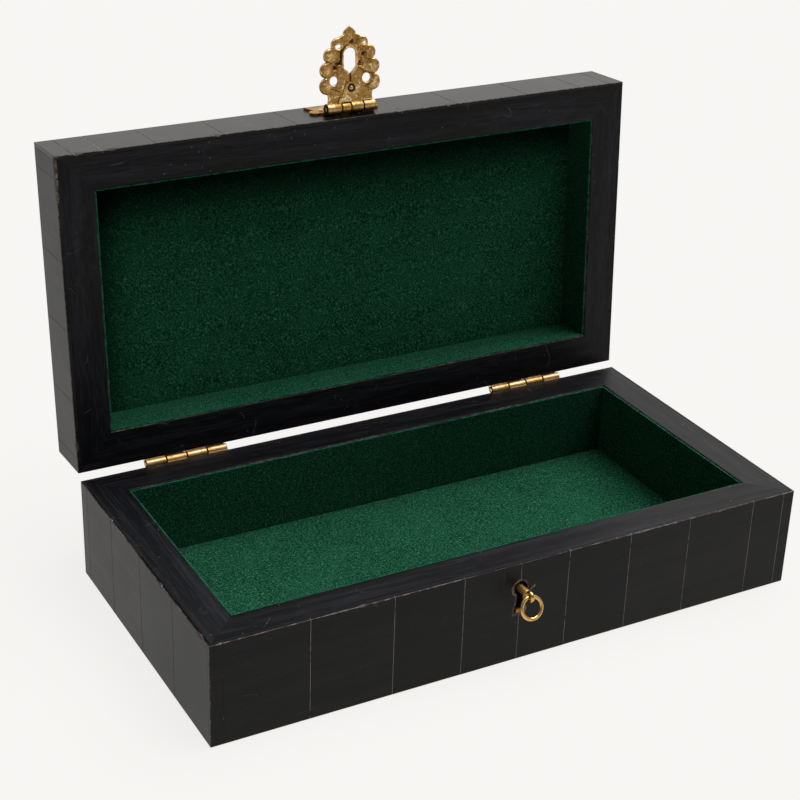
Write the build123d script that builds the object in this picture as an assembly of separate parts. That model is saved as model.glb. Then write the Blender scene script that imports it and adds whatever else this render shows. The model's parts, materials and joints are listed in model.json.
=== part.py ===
from build123d import *
import math
import os

os.makedirs("parts", exist_ok=True)

# Outside of the box, in mm. The box stands on z = 0 with its front towards -Y.
box_length = 250.0
box_depth = 127.0
base_height = 42.0
lid_height = 23.4
rim_gap = 0.3  # left between the two rims when the box is shut
open_angle = 93.6  # degrees that the lid leans back from shut, on its hinge stops

# Walls, from the outside in: horn plate, wooden wall, baize
horn_thick = 1.2
wall_thick = 13.3
baize_thick = 0.8
rim_thick = 1.8
baize_drop = 0.3  # top edge of the baize below the face of the rim
plate_lift = 0.4  # lower edge of the side plates above the table
seam = 0.16  # glue line between two plates
plate_least = 3.0  # narrowest plate at the end of a row
past = 0.5  # how far a cut runs past the face it leaves

# Inside heights
base_depth_inside = 31.0
lid_depth_inside = 17.0
board_tongue = 5.0  # how far the bottom board is let into the walls, and how thick it is there

# Where one horn plate ends and the next begins
base_front_joints = (-120.0, -87.0, -54.0, -25.5, -1.5, 19.5, 47.0, 74.5, 105.0, 120.0)
base_back_joints = (-120.0, -93.0, -62.5, -31.0, 0.5, 29.0, 60.0, 91.5, 120.0)
base_side_joints = (-30.7, 0.8, 30.3, 57.0)
lid_front_joints = (-118.0, -106.5, -85.5, -58.0, -27.3, -1.5, 18.7, 44.0, 77.3, 103.3, 118.0)
lid_back_joints = (-118.0, -90.0, -60.5, -29.0, 1.5, 33.0, 61.0, 92.0, 118.0)
lid_side_joints = (-54.9, -23.1, 4.5, 33.3, 57.2)
lid_top_joints = (-93.0, -62.0, -31.5, 0.0, 30.5, 62.5, 94.0)
lid_top_split = 2.0  # the seam that runs the length of the lid

# Two hinges on the back
hinge_inset = 45.0  # centre of each hinge from the end of the box
hinge_length = 35.0
leaf_height = 14.0
leaf_thick = 0.9
knuckle_radius = 1.65
hinge_clear = 0.35  # knuckle to the back face of the box
hinge_pin_radius = 0.75
pin_clearance = 0.05
knuckle_count = 4
knuckle_gap = 0.15
leaf_notch = 0.3  # clear of the other leaf's knuckle
stop_reach = 3.2  # length of the stop on a base knuckle
stop_back = 0.4  # stop's outer face from the hinge line
stop_clearance = 0.04
screw_radius = 1.0
screw_head_radius = 1.9
screw_head_thick = 0.8
screw_length = 7.0
screw_pitch = 12.0
screw_clearance = 0.05
screw_slot_deep = 0.3
screw_slot_wide = 0.4

# Hasp, hung from the front of the lid. u runs across, v away from its hinge.
latch_x = -1.5
hasp_rise = 6.0  # hasp hinge axis above the lower edge of the lid
hasp_barrel_radius = 2.25
hasp_clear = 0.45  # hasp's barrel to the front of the lid
hasp_pin_radius = 0.8
hasp_knuckles = (-10.7, -4.3, -0.2, 5.3, 10.7)
hasp_thick = 1.4
hasp_lobes = ((5.6, 25.7, 3.1), (8.4, 20.9, 3.0), (10.0, 15.4, 3.1), (9.9, 9.2, 3.4))
hasp_neck_width = 20.4
hasp_tip_v = 31.9
hasp_tip_width = 5.4
hasp_tip_root = 0.6  # the tip's ends inside the top lobes
hasp_tip_belly = 1.6  # height at which the tip is widest
hasp_bridge = 5.8  # height of the metal between the top lobes
hasp_window_low = 13.3
hasp_window_high = 23.4
hasp_window_radius = 2.6
hasp_eye_u = 7.2
hasp_eye_v = 11.0
hasp_eye_radius = 1.8
hasp_peep_u = 5.2
hasp_peep_v = 24.8
hasp_peep_radius = 0.95
hasp_tab_u = -2.3
hasp_tab_radius = 3.0
hasp_tab_rise = 0.5
hasp_rosette_v = 7.6
hasp_rosette_radius = 1.5
hasp_heel = 3.2  # stop behind the hasp's knuckles
hasp_heel_back = 0.6  # heel's far face from the hinge line
hasp_leaf_thick = 0.9
hasp_leaf_outline = ((14.6, 5.4), (12.2, 8.2), (13.6, 14.4), (8.6, 12.0), (4.2, 13.2), (0.0, 15.6))
hasp_leaf_lobes = ((12.6, 5.6, 2.4), (6.0, 11.4, 2.0))
hasp_leaf_pin_spots = ((-9.5, 6.0), (9.5, 6.0), (0.0, 10.2))
hasp_leaf_pin_radius = 0.6
hasp_leaf_pin_head = 1.3
hasp_leaf_pin_rise = 0.6
hasp_leaf_pin_length = 6.0
hasp_leaf_pin_fit = 0.03

# Keyhole and lock
key_drop = 10.6  # the keyhole's head below the top of the base
keyhole_radius = 2.95
keyhole_slot = 2.7
keyhole_long = 10.6  # from the centre of the head to the foot
keyhole_foot_half = 2.2
keyhole_flare = 5.7  # height over which the slot widens to its foot
keyhole_foot_high = 0.9
keyhole_foot_cut = 0.5
stub_height = 1.6  # what is left of a brass liner, low in the keyhole
stub_narrow = 0.8  # stub's side to the foot's side
stub_inset = 0.1
lock_width = 30.0
lock_above = 7.2  # top of the lock above the key
lock_below = 12.4
lock_sheet = 1.0
lock_flange = 4.0
lock_fit = 0.1  # lock to its recess
lock_inset = 0.05  # flange behind the wall's inner face
lock_screw_radius = 0.8
lock_screw_head = 1.5
lock_screw_head_thick = 0.8
lock_screw_length = 6.0
cam_radius = 5.9
cam_thick = 4.0
cam_gap = 0.2  # cam to the lock's cap
cam_pin_place = 3.4
cam_pin_radius = 0.8
cam_pin_grip = 0.95  # how far the pin reaches into the bolt's slot
cam_bolt_gap = 0.95
cam_turn = 90.0  # quarter turn of the key
bolt_thick = 1.5
bolt_long = 17.0
bolt_high = 3.5
bolt_slot_fit = 0.25
bolt_slot_more = 0.3  # slot's lower end below what the pin needs
bolt_back_gap = 0.3  # bolt to the back of the case
bolt_low = 1.5  # lower edge of the bolt above the key's axis
rail_high = 1.4
rail_gap = 0.1
spring_thick = 0.4
spring_wide = 1.5
spring_clear = 0.15  # spring to the bolt
spring_seat = 0.05  # spring's ends to the top of the case
spring_end = 1.0  # spring's ends to the sides of the case

# Key
key_shank_radius = 1.5
key_fit = 0.08
key_bit_reach = 5.0
key_bit_thick = 1.2
key_bit_fit = 0.12
key_collar_radius = 1.75
key_collar_thick = 0.6
key_collar_out = 4.2  # collar in front of the box
key_eye_out = 6.5
key_eye_radius = 2.25
key_eye_thick = 1.6
key_eye_hole = 1.05
key_eye_root = 1.9  # where the shank starts, from the centre of the eye
key_tip_gap = 0.1  # key's tip to the face of the cam
ring_radius = 4.2
ring_wire = 0.75
ring_tilt = 20.0  # the ring stands out from hanging straight, degrees

# Worked out from the sizes above
half_x = box_length / 2
half_y = box_depth / 2
wood_x = half_x - horn_thick
wood_y = half_y - horn_thick
room_x = wood_x - wall_thick
room_y = wood_y - wall_thick
base_wood_top = base_height - rim_thick
base_floor = base_height - base_depth_inside - baize_thick
lid_z0 = base_height + rim_gap
lid_z1 = lid_z0 + lid_height
lid_wood_low = lid_z0 + rim_thick
lid_ceiling = lid_z0 + lid_depth_inside + baize_thick
lid_wood_top = lid_z1 - horn_thick
hinge_place = half_x - hinge_inset
hinge_offset = knuckle_radius + hinge_clear
axis_y = half_y + hinge_offset
axis_z = base_height + rim_gap / 2
hasp_y = -half_y - hasp_barrel_radius - hasp_clear
hasp_z = lid_z0 + hasp_rise
hinge_line = Axis((0, axis_y, axis_z), (1, 0, 0))
key_z = base_height - key_drop
keyhole_foot_z = key_z - keyhole_long
lock_bottom = key_z - lock_below
lock_top = key_z + lock_above


def block(x0, x1, y0, y1, z0, z1):
    """A box between two corners."""
    return Pos((x0 + x1) / 2, (y0 + y1) / 2, (z0 + z1) / 2) * Box(x1 - x0, y1 - y0, z1 - z0)


def rod_x(x0, x1, y, z, radius):
    """A round bar along X."""
    return Pos((x0 + x1) / 2, y, z) * Rot(0, 90, 0) * Cylinder(radius, x1 - x0)


def rod_y(x, z, y0, y1, radius):
    """A round bar along Y."""
    return Pos(x, (y0 + y1) / 2, z) * Rot(90, 0, 0) * Cylinder(radius, y1 - y0)


def facing(sketch, y_back, thick):
    """A sketch drawn in x and z, made thick towards the front from y_back."""
    return extrude(Plane((0, y_back, 0), x_dir=(1, 0, 0), z_dir=(0, -1, 0)) * sketch, amount=thick)


def opened(shape):
    """Swings a piece of the lid from shut to where the lid rests."""
    return shape.rotate(hinge_line, -open_angle)


def write(node, *solids):
    """Writes the solids of one node."""
    shape = solids[0] if len(solids) == 1 else Compound(children=list(solids))
    export_step(shape, f"parts/{node}.step")


def cut_all(solids, tools):
    """Cuts each tool from the solids that it meets."""
    out = []
    for solid in solids:
        for tool in tools:
            if (solid & tool) and (solid & tool).volume > 1e-6:
                solid = solid - tool
        out.append(solid)
    return out


def spans(start, joints, end):
    """Start and end of each plate in a row, with half a seam off at each joint."""
    kept = [mark for mark in joints if start + plate_least < mark < end - plate_least]
    marks = [start, *kept, end]
    last = len(marks) - 2
    for i, (a, b) in enumerate(zip(marks, marks[1:])):
        yield a + (seam / 2 if i > 0 else 0), b - (seam / 2 if i < last else 0)


def countersunk(x, z, y_face, length, radius, head_radius, head_thick, into):
    """A countersunk screw whose head is flush with y_face and whose point goes along Y, +1 or -1."""
    shank = rod_y(x, z, *sorted((y_face, y_face + into * length)), radius)
    head = Pos(x, y_face + into * head_thick / 2, z) * Rot(-90 * into, 0, 0) * Cone(
        head_radius, radius, head_thick
    )
    slot_y = sorted((y_face, y_face + into * screw_slot_deep))
    slot = block(x - head_radius, x + head_radius, *slot_y, z - screw_slot_wide / 2, z + screw_slot_wide / 2)
    return shank + head - slot


# Wooden base: two long walls, two short walls between them, and a bottom board let into all four
def four_walls(z0, z1):
    """Front, back, left and right wooden walls between two heights."""
    front = block(-wood_x, wood_x, -wood_y, -room_y, z0, z1)
    back = block(-wood_x, wood_x, room_y, wood_y, z0, z1)
    left = block(-wood_x, -room_x, -room_y, room_y, z0, z1)
    right = block(room_x, wood_x, -room_y, room_y, z0, z1)
    return [front, back, left, right]


board_x = room_x + board_tongue
board_y = room_y + board_tongue
tongue = block(-board_x, board_x, -board_y, board_y, 0, board_tongue)
bottom_board = tongue + block(-room_x, room_x, -room_y, room_y, 0, base_floor)
base_walls = [wall - tongue for wall in four_walls(0, base_wood_top)]
lid_walls = four_walls(lid_wood_low, lid_ceiling)
lid_board = block(-wood_x, wood_x, -wood_y, wood_y, lid_ceiling, lid_wood_top)


# Horn rim strips, mitred at the corners
def rim_strips(z0):
    """Front, back, left and right strips of a rim that is rim_thick high."""
    outer = [(-wood_x, -wood_y), (wood_x, -wood_y), (wood_x, wood_y), (-wood_x, wood_y)]
    inner = [(-room_x, -room_y), (room_x, -room_y), (room_x, room_y), (-room_x, room_y)]
    strips = []
    for i, k in ((0, 1), (2, 3), (3, 0), (1, 2)):
        face = make_face(Polyline(outer[i], outer[k], inner[k], inner[i], close=True))
        strips.append(extrude(Plane((0, 0, z0)) * face, amount=rim_thick))
    return strips


base_rims = rim_strips(base_wood_top)
lid_rims = rim_strips(lid_z0)


# Horn plates on the sides and on top of the lid
def front_plates(joints, z0, z1, sign):
    """A row of plates on the front (sign -1) or back (sign +1), across the whole length."""
    ys = sorted((sign * wood_y, sign * half_y))
    return [block(a, b, *ys, z0, z1) for a, b in spans(-half_x, joints, half_x)]


def side_plates(joints, z0, z1, sign):
    """A row of plates on the left (sign -1) or right (sign +1), between the front and back rows."""
    xs = sorted((sign * wood_x, sign * half_x))
    return [block(*xs, a, b, z0, z1) for a, b in spans(-wood_y, joints, wood_y)]


base_front_plates = front_plates(base_front_joints, plate_lift, base_height, -1)
base_back_plates = front_plates(base_back_joints, plate_lift, base_height, 1)
base_left_plates = side_plates(base_side_joints, plate_lift, base_height, -1)
base_right_plates = side_plates(base_side_joints, plate_lift, base_height, 1)
lid_front_plates = front_plates(lid_front_joints, lid_z0, lid_z1, -1)
lid_back_plates = front_plates(lid_back_joints, lid_z0, lid_z1, 1)
lid_left_plates = side_plates(lid_side_joints, lid_z0, lid_z1, -1)
lid_right_plates = side_plates(lid_side_joints, lid_z0, lid_z1, 1)
lid_top_plates = [
    block(a, b, c, d, lid_wood_top, lid_z1)
    for a, b in spans(-wood_x, lid_top_joints, wood_x)
    for c, d in spans(-wood_y, (lid_top_split,), wood_y)
]


# Baize linings: a panel and four walls
def lining(panel_z0, wall_z0, wall_z1):
    """Panel at panel_z0, then front, back, left and right walls between two heights."""
    x, y, t = room_x, room_y, baize_thick
    return [
        block(-x, x, -y, y, panel_z0, panel_z0 + t),
        block(-x, x, -y, -y + t, wall_z0, wall_z1),
        block(-x, x, y - t, y, wall_z0, wall_z1),
        block(-x, -x + t, -y + t, y - t, wall_z0, wall_z1),
        block(x - t, x, -y + t, y - t, wall_z0, wall_z1),
    ]


base_linings = lining(base_floor, base_floor + baize_thick, base_height - baize_drop)
lid_linings = lining(lid_ceiling - baize_thick, lid_z0 + baize_drop, lid_ceiling - baize_thick)

# Hinges. A leaf lies on the back face, and its knuckles turn on a pin along the hinge line.
notch = knuckle_radius + leaf_notch


def knuckle_spans(x0):
    """Start and end of each knuckle of the hinge whose left end is at x0."""
    step = hinge_length / knuckle_count
    for i in range(knuckle_count):
        yield x0 + i * step + knuckle_gap / 2, x0 + (i + 1) * step - knuckle_gap / 2


def hinge_leaf(x0, up, own):
    """One leaf with its own knuckles: up is +1 on the lid and -1 on the base."""
    x1 = x0 + hinge_length
    edge = sorted((axis_z + up * notch, axis_z + up * (notch + leaf_height)))
    leaf = block(x0, x1, half_y, half_y + leaf_thick, *edge)
    for i, (a, b) in enumerate(knuckle_spans(x0)):
        if i % 2 == own:
            heights = sorted((axis_z, axis_z + up * notch))
            leaf += block(a, b, half_y, axis_y, *heights)
            leaf += rod_x(a, b, axis_y, axis_z, knuckle_radius)
    return leaf - rod_x(x0, x1, axis_y, axis_z, hinge_pin_radius + pin_clearance)


def hinge_stops(x0):
    """Noses on the base knuckles that the lid's leaf lies on when the lid is open."""
    noses = []
    for i, (a, b) in enumerate(knuckle_spans(x0)):
        if i % 2 == 1:
            face = axis_y - (hinge_offset - leaf_thick - stop_clearance)
            nose = opened(block(a, b, face, axis_y + stop_back, axis_z, axis_z + stop_reach))
            noses.append(nose - rod_x(a, b, axis_y, axis_z, hinge_pin_radius + pin_clearance))
    return noses


def hinge_screws(centre, up):
    """The three screws of one leaf, from its outer face into the wall."""
    z = axis_z + up * (notch + leaf_height / 2)
    return [
        countersunk(centre + k * screw_pitch, z, half_y + leaf_thick, screw_length, screw_radius,
                    screw_head_radius, screw_head_thick, -1)
        for k in (-1, 0, 1)
    ]


def hinge_screw_room(centre, up):
    """What the three screws of one leaf need cut away."""
    z = axis_z + up * (notch + leaf_height / 2)
    fit = screw_clearance
    return [
        rod_y(centre + k * screw_pitch, z, half_y + leaf_thick - screw_length - fit,
              half_y + leaf_thick + fit, screw_radius + fit)
        for k in (-1, 0, 1)
    ]


def hinge_head_room(centre, up):
    """The countersinks of one leaf."""
    z = axis_z + up * (notch + leaf_height / 2)
    return [
        Pos(centre + k * screw_pitch, half_y + leaf_thick - screw_head_thick / 2, z)
        * Rot(90, 0, 0)
        * Cone(screw_head_radius + screw_clearance, screw_radius + screw_clearance, screw_head_thick)
        for k in (-1, 0, 1)
    ]


hinge_nodes = {}
base_screws = []
lid_screws = []
base_screw_room = []
lid_screw_room = []
for side, centre in (("left", -hinge_place), ("right", hinge_place)):
    x0 = centre - hinge_length / 2
    base_leaf = hinge_leaf(x0, -1, 1)
    for nose in hinge_stops(x0):
        base_leaf += nose
    lid_leaf = hinge_leaf(x0, 1, 0)
    for cut in hinge_screw_room(centre, -1) + hinge_head_room(centre, -1):
        base_leaf -= cut
    for cut in hinge_screw_room(centre, 1) + hinge_head_room(centre, 1):
        lid_leaf -= cut
    pin = rod_x(x0 + knuckle_gap, x0 + hinge_length - knuckle_gap, axis_y, axis_z, hinge_pin_radius)
    hinge_nodes[f"{side}_hinge_base_leaf"] = base_leaf
    hinge_nodes[f"{side}_hinge_lid_leaf"] = opened(lid_leaf)
    hinge_nodes[f"{side}_hinge_pin"] = pin
    base_screws += hinge_screws(centre, -1)
    lid_screws += hinge_screws(centre, 1)
    base_screw_room += hinge_screw_room(centre, -1)
    lid_screw_room += hinge_screw_room(centre, 1)

base_back_plates = cut_all(base_back_plates, base_screw_room)
lid_back_plates = cut_all(lid_back_plates, lid_screw_room)
base_walls[1] = cut_all([base_walls[1]], base_screw_room)[0]
lid_walls[1] = cut_all([lid_walls[1]], lid_screw_room)[0]


# Keyhole in the front plates and the wall
def keyhole(head, slot, foot_z):
    """Round head and straight slot, in x and z."""
    shape = Pos(latch_x, key_z) * Circle(head)
    return shape + Pos(latch_x, (key_z + foot_z) / 2) * Rectangle(slot, key_z - foot_z)


def keyhole_flared_foot():
    """Lower end of the keyhole, wider than its slot."""
    half = [
        (keyhole_slot / 2, keyhole_foot_z + keyhole_flare),
        (keyhole_foot_half, keyhole_foot_z + keyhole_foot_high),
        (keyhole_foot_half - keyhole_foot_cut, keyhole_foot_z),
    ]
    right = [(latch_x + u, z) for u, z in half]
    left = [(latch_x - u, z) for u, z in reversed(half)]
    return make_face(Polyline(*right, *left, close=True))


lock_back = -room_y - lock_inset
case_back = lock_back - lock_sheet
bolt_back = case_back - bolt_back_gap
bolt_front = bolt_back - bolt_thick
cam_back = bolt_front - cam_bolt_gap
cam_front = cam_back - cam_thick
cap_back = cam_front - cam_gap
lock_front = cap_back - lock_sheet
keyhole_sketch = keyhole(keyhole_radius, keyhole_slot, keyhole_foot_z) + keyhole_flared_foot()
keyhole_cut = facing(keyhole_sketch, lock_front + past, half_y + lock_front + 2 * past)
base_front_plates = cut_all(base_front_plates, [keyhole_cut])
stub_half = keyhole_foot_half - stub_narrow
keyhole_stub = block(latch_x - stub_half, latch_x + stub_half, -half_y + stub_inset, -wood_y,
                     keyhole_foot_z, keyhole_foot_z + stub_height)

# Lock: a case with a flange, let into the wall from inside, and a cap towards the front
lock_x0 = latch_x - lock_width / 2
lock_x1 = latch_x + lock_width / 2
flange_x0 = lock_x0 - lock_flange
flange_x1 = lock_x1 + lock_flange
lock_case = block(lock_x0, lock_x1, cap_back, case_back, lock_bottom, lock_top)
lock_case -= block(lock_x0 + lock_sheet, lock_x1 - lock_sheet, cap_back, case_back,
                   lock_bottom + lock_sheet, lock_top - lock_sheet)
lock_case += block(flange_x0, flange_x1, case_back, lock_back, lock_bottom, lock_top)
rail_top = key_z + bolt_low - rail_gap
lock_case += block(lock_x0 + lock_sheet, lock_x1 - lock_sheet, bolt_front, case_back,
                   rail_top - rail_high, rail_top)
screw_x = lock_width / 2 + lock_flange / 2
screw_spots = [
    (latch_x + side * screw_x, z)
    for side in (-1, 1)
    for z in (lock_bottom + lock_flange, lock_top - lock_flange)
]
lock_screws = [
    countersunk(x, z, lock_back, lock_screw_length, lock_screw_radius, lock_screw_head,
                lock_screw_head_thick, -1)
    for x, z in screw_spots
]
for x, z in screw_spots:
    lock_case -= rod_y(x, z, case_back - past, lock_back, lock_screw_radius + screw_clearance)
    lock_case -= Pos(x, lock_back - lock_screw_head_thick / 2, z) * Rot(90, 0, 0) * Cone(
        lock_screw_head + screw_clearance, lock_screw_radius + screw_clearance, lock_screw_head_thick
    )
bit_end = key_bit_reach + key_bit_fit
lock_cap = block(lock_x0, lock_x1, lock_front, cap_back, lock_bottom, lock_top)
key_way = keyhole(key_shank_radius + key_fit, key_bit_thick + 2 * key_bit_fit, key_z - bit_end)
lock_cap -= facing(key_way, cap_back + past, lock_sheet + 2 * past)

# The wall's recess for the lock, its screws and the keyhole
lock_heights = (lock_bottom - lock_fit, lock_top + lock_fit)
lock_room_cuts = [
    block(lock_x0 - lock_fit, lock_x1 + lock_fit, lock_front - lock_fit, -room_y, *lock_heights),
    block(flange_x0 - lock_fit, flange_x1 + lock_fit, case_back, -room_y, *lock_heights),
    keyhole_cut,
]
for x, z in screw_spots:
    lock_room_cuts.append(rod_y(x, z, lock_back - lock_screw_length - screw_clearance, case_back,
                                lock_screw_radius + screw_clearance))
base_walls[0] = cut_all([base_walls[0]], lock_room_cuts)[0]

# Cam that the key's bit turns, with a pin that carries the bolt along
pin_start = math.radians(cam_turn / 2)
lock_cam = rod_y(latch_x, key_z, cam_front, cam_back, cam_radius)
lock_cam -= facing(key_way, cam_back + past, cam_thick + 2 * past)
lock_cam += rod_y(latch_x - cam_pin_place * math.sin(pin_start), key_z + cam_pin_place * math.cos(pin_start),
                  cam_back, bolt_front + cam_pin_grip, cam_pin_radius)

# Bolt, slotted for the pin, on the case's rail and under a leaf spring
bolt_travel = 2 * cam_pin_place * math.sin(pin_start)
bolt_x = latch_x - bolt_travel / 2
bolt_z0 = key_z + bolt_low
bolt_z1 = bolt_z0 + bolt_high
slot_half = cam_pin_radius + bolt_slot_fit
lock_bolt = block(bolt_x - bolt_long / 2, bolt_x + bolt_long / 2, bolt_front, bolt_back, bolt_z0, bolt_z1)
slot_z1 = key_z + cam_pin_place + slot_half
slot_z0 = key_z + cam_pin_place * math.cos(pin_start) - slot_half
lock_bolt -= block(bolt_x - slot_half, bolt_x + slot_half, bolt_front, bolt_back,
                   slot_z0 - bolt_slot_more, slot_z1)

# Leaf spring, bowed down from the top of the case on to the bolt
spring_high = lock_top - lock_sheet - spring_seat
spring_low = bolt_z1 + spring_clear + spring_thick
spring_half = lock_width / 2 - lock_sheet - spring_end
spring_line = ThreePointArc((latch_x - spring_half, spring_high), (latch_x, spring_low),
                            (latch_x + spring_half, spring_high))
spring_under = ThreePointArc((latch_x + spring_half, spring_high - spring_thick),
                             (latch_x, spring_low - spring_thick),
                             (latch_x - spring_half, spring_high - spring_thick))
spring_face = make_face([
    spring_line,
    Line(spring_line @ 1, spring_under @ 0),
    spring_under,
    Line(spring_under @ 1, spring_line @ 0),
])
bolt_spring = facing(spring_face, bolt_back, spring_wide)

# Key: round shank with a flat bit, a collar, and a flat eye for the ring
key_tip_y = cam_back - key_tip_gap
key_hole_y = -half_y - key_eye_out
collar_y = -half_y - key_collar_out
key = rod_y(latch_x, key_z, key_hole_y + key_eye_root, key_tip_y, key_shank_radius)
key += rod_y(latch_x, key_z, collar_y - key_collar_thick / 2, collar_y + key_collar_thick / 2,
             key_collar_radius)
key += rod_x(latch_x - key_eye_thick / 2, latch_x + key_eye_thick / 2, key_hole_y, key_z, key_eye_radius)
key += block(latch_x - key_bit_thick / 2, latch_x + key_bit_thick / 2, cam_front + key_tip_gap, key_tip_y,
             key_z - key_bit_reach, key_z)
key -= rod_x(latch_x - key_eye_radius, latch_x + key_eye_radius, key_hole_y, key_z, key_eye_hole)
ring_turned = Pos(latch_x, key_hole_y, key_z) * Rot(-ring_tilt, 0, 0)
key_ring = ring_turned * Pos(0, 0, -ring_radius) * Rot(90, 0, 0) * Torus(ring_radius, ring_wire)


# Hasp: pierced plate with scalloped sides on its own knuckles, drawn hanging down, in u and v
def hasp_sketch():
    """Outline of the hasp's plate with its window, eyes and small holes; v runs downwards."""
    half = hasp_neck_width / 2
    body = make_face(Polyline(
        (-half, -hasp_barrel_radius), (half, -hasp_barrel_radius),
        *[(u, -v) for u, v, r in reversed(hasp_lobes)],
        *[(-u, -v) for u, v, r in hasp_lobes],
        close=True,
    ))
    body += Pos(0, -hasp_barrel_radius) * Rectangle(hasp_neck_width, 2 * hasp_barrel_radius)
    for u, v, r in hasp_lobes:
        for side in (-1, 1):
            body += Pos(side * u, -v) * Circle(r)
    top_v = hasp_lobes[0][1]
    body += Pos(0, -top_v) * Rectangle(2 * hasp_lobes[0][0], hasp_bridge)
    tip_half = hasp_tip_width / 2
    tip_root = tip_half - hasp_tip_root
    tip_low = top_v + hasp_lobes[0][2] - hasp_tip_root
    tip_wide = tip_low + hasp_tip_belly
    left = ThreePointArc((-tip_root, -tip_low), (-tip_half, -tip_wide), (0, -hasp_tip_v))
    right = ThreePointArc((0, -hasp_tip_v), (tip_half, -tip_wide), (tip_root, -tip_low))
    body += make_face([left, right, Line(right @ 1, left @ 0)])
    round_v = hasp_window_high - hasp_window_radius
    low_v = hasp_window_low + hasp_window_radius
    window = Pos(0, -round_v) * Circle(hasp_window_radius)
    window += make_face(Polyline(
        (-hasp_window_radius, -round_v), (-hasp_window_radius, -low_v), (0, -hasp_window_low),
        (hasp_window_radius, -low_v), (hasp_window_radius, -round_v), close=True,
    ))
    body -= window
    for side in (-1, 1):
        body -= Pos(side * hasp_eye_u, -hasp_eye_v) * Circle(hasp_eye_radius)
        body -= Pos(side * hasp_peep_u, -hasp_peep_v) * Circle(hasp_peep_radius)
    return body


def hasp_knuckle(i, clear):
    """Start and end of one hasp knuckle, with clearance at its inner ends."""
    last = len(hasp_knuckles) - 2
    a = latch_x + hasp_knuckles[i] + (clear if i > 0 else 0)
    b = latch_x + hasp_knuckles[i + 1] - (clear if i < last else 0)
    return a, b


clear = knuckle_gap / 2
hasp_reach = hasp_barrel_radius + leaf_notch
plate_back = hasp_y + hasp_thick / 2
hasp_plate = facing(Pos(latch_x, hasp_z) * hasp_sketch(), plate_back, hasp_thick)
for i in (1, 3):
    a, b = hasp_knuckle(i, -clear)
    hasp_plate -= block(a, b, hasp_y - hasp_thick, hasp_y + hasp_thick, hasp_z - hasp_reach, hasp_z + past)
hasp_plate -= block(latch_x - hasp_neck_width, latch_x + hasp_neck_width, hasp_y - hasp_thick,
                    hasp_y + hasp_thick, hasp_z, hasp_z + hasp_reach)
tab = Pos(latch_x + hasp_tab_u, hasp_z - hasp_reach) * Circle(hasp_tab_radius)
tab -= Pos(latch_x, hasp_z) * Rectangle(hasp_neck_width, 2 * hasp_reach)
hasp_plate += facing(tab, plate_back + hasp_tab_rise, hasp_tab_rise)
hasp_plate += rod_y(latch_x, hasp_z - hasp_rosette_v, plate_back, plate_back + hasp_tab_rise,
                    hasp_rosette_radius)
leaf_face = -half_y - hasp_leaf_thick
hasp_line = Axis((0, hasp_y, hasp_z), (1, 0, 0))
for i in (0, 2):
    a, b = hasp_knuckle(i, clear)
    hasp_plate += rod_x(a, b, hasp_y, hasp_z, hasp_barrel_radius)
    # heel that lies on the fixed leaf when the hasp stands square to the lid
    heel = block(a, b, hasp_y - hasp_heel_back, leaf_face - stop_clearance, hasp_z, hasp_z + hasp_heel)
    hasp_plate += heel.rotate(hasp_line, 90)
hasp_bore = rod_x(latch_x + hasp_knuckles[0], latch_x + hasp_knuckles[-1], hasp_y, hasp_z,
                  hasp_pin_radius + pin_clearance)
hasp_plate -= hasp_bore
hasp_plate = hasp_plate.rotate(hasp_line, -90)
hasp_pin = rod_x(latch_x + hasp_knuckles[0] + knuckle_gap, latch_x + hasp_knuckles[-1] - knuckle_gap,
                 hasp_y, hasp_z, hasp_pin_radius)


# Fixed leaf of the hasp, spread flat on the front of the lid above the barrel
def hasp_leaf_sketch():
    """Outline of the fixed leaf, in u and height above the hasp's hinge line."""
    right = [(hasp_neck_width / 2, hasp_reach), *hasp_leaf_outline]
    shape = make_face(Polyline(*right, *[(-u, v) for u, v in reversed(right[:-1])], close=True))
    for u, v, r in hasp_leaf_lobes:
        for side in (-1, 1):
            shape += Pos(side * u, v) * Circle(r)
    return shape


hasp_leaf = facing(Pos(latch_x, hasp_z) * hasp_leaf_sketch(), -half_y, hasp_leaf_thick)
for i in (1, 3):
    a, b = hasp_knuckle(i, clear)
    hasp_leaf += block(a, b, hasp_y, -half_y, hasp_z, hasp_z + hasp_reach)
    hasp_leaf += rod_x(a, b, hasp_y, hasp_z, hasp_barrel_radius)
hasp_leaf -= hasp_bore
hasp_leaf_pins = []
leaf_pin_room = []
for u, rise in hasp_leaf_pin_spots:
    x = latch_x + u
    z = hasp_z + rise
    wide = hasp_leaf_pin_head
    deep = -half_y + hasp_leaf_pin_length
    nail = rod_y(x, z, leaf_face, deep, hasp_leaf_pin_radius)
    head = Pos(x, leaf_face, z) * Sphere(hasp_leaf_pin_head)
    head &= block(x - wide, x + wide, leaf_face - hasp_leaf_pin_rise, leaf_face, z - wide, z + wide)
    hasp_leaf_pins.append(nail + head)
    leaf_pin_room.append(rod_y(x, z, leaf_face - past, deep + hasp_leaf_pin_fit,
                               hasp_leaf_pin_radius + hasp_leaf_pin_fit))
for cut in leaf_pin_room:
    hasp_leaf -= cut
lid_front_plates = cut_all(lid_front_plates, leaf_pin_room)
lid_walls[0] = cut_all([lid_walls[0]], leaf_pin_room)[0]

# Write the base
sides = ("front", "back", "left", "right")
write("base_bottom_board", bottom_board)
for name, wall, strip in zip(sides, base_walls, base_rims):
    write(f"base_{name}_wall", wall)
    write(f"base_{name}_rim", strip)
write("base_front_plates", *base_front_plates)
write("base_back_plates", *base_back_plates)
write("base_left_plates", *base_left_plates)
write("base_right_plates", *base_right_plates)
for name, panel in zip(("floor", *sides), base_linings):
    write(f"base_{name}_baize", panel)
write("keyhole_liner_stub", keyhole_stub)
write("base_hinge_screws", *base_screws)
for node, shape in hinge_nodes.items():
    write(node, shape)

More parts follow.
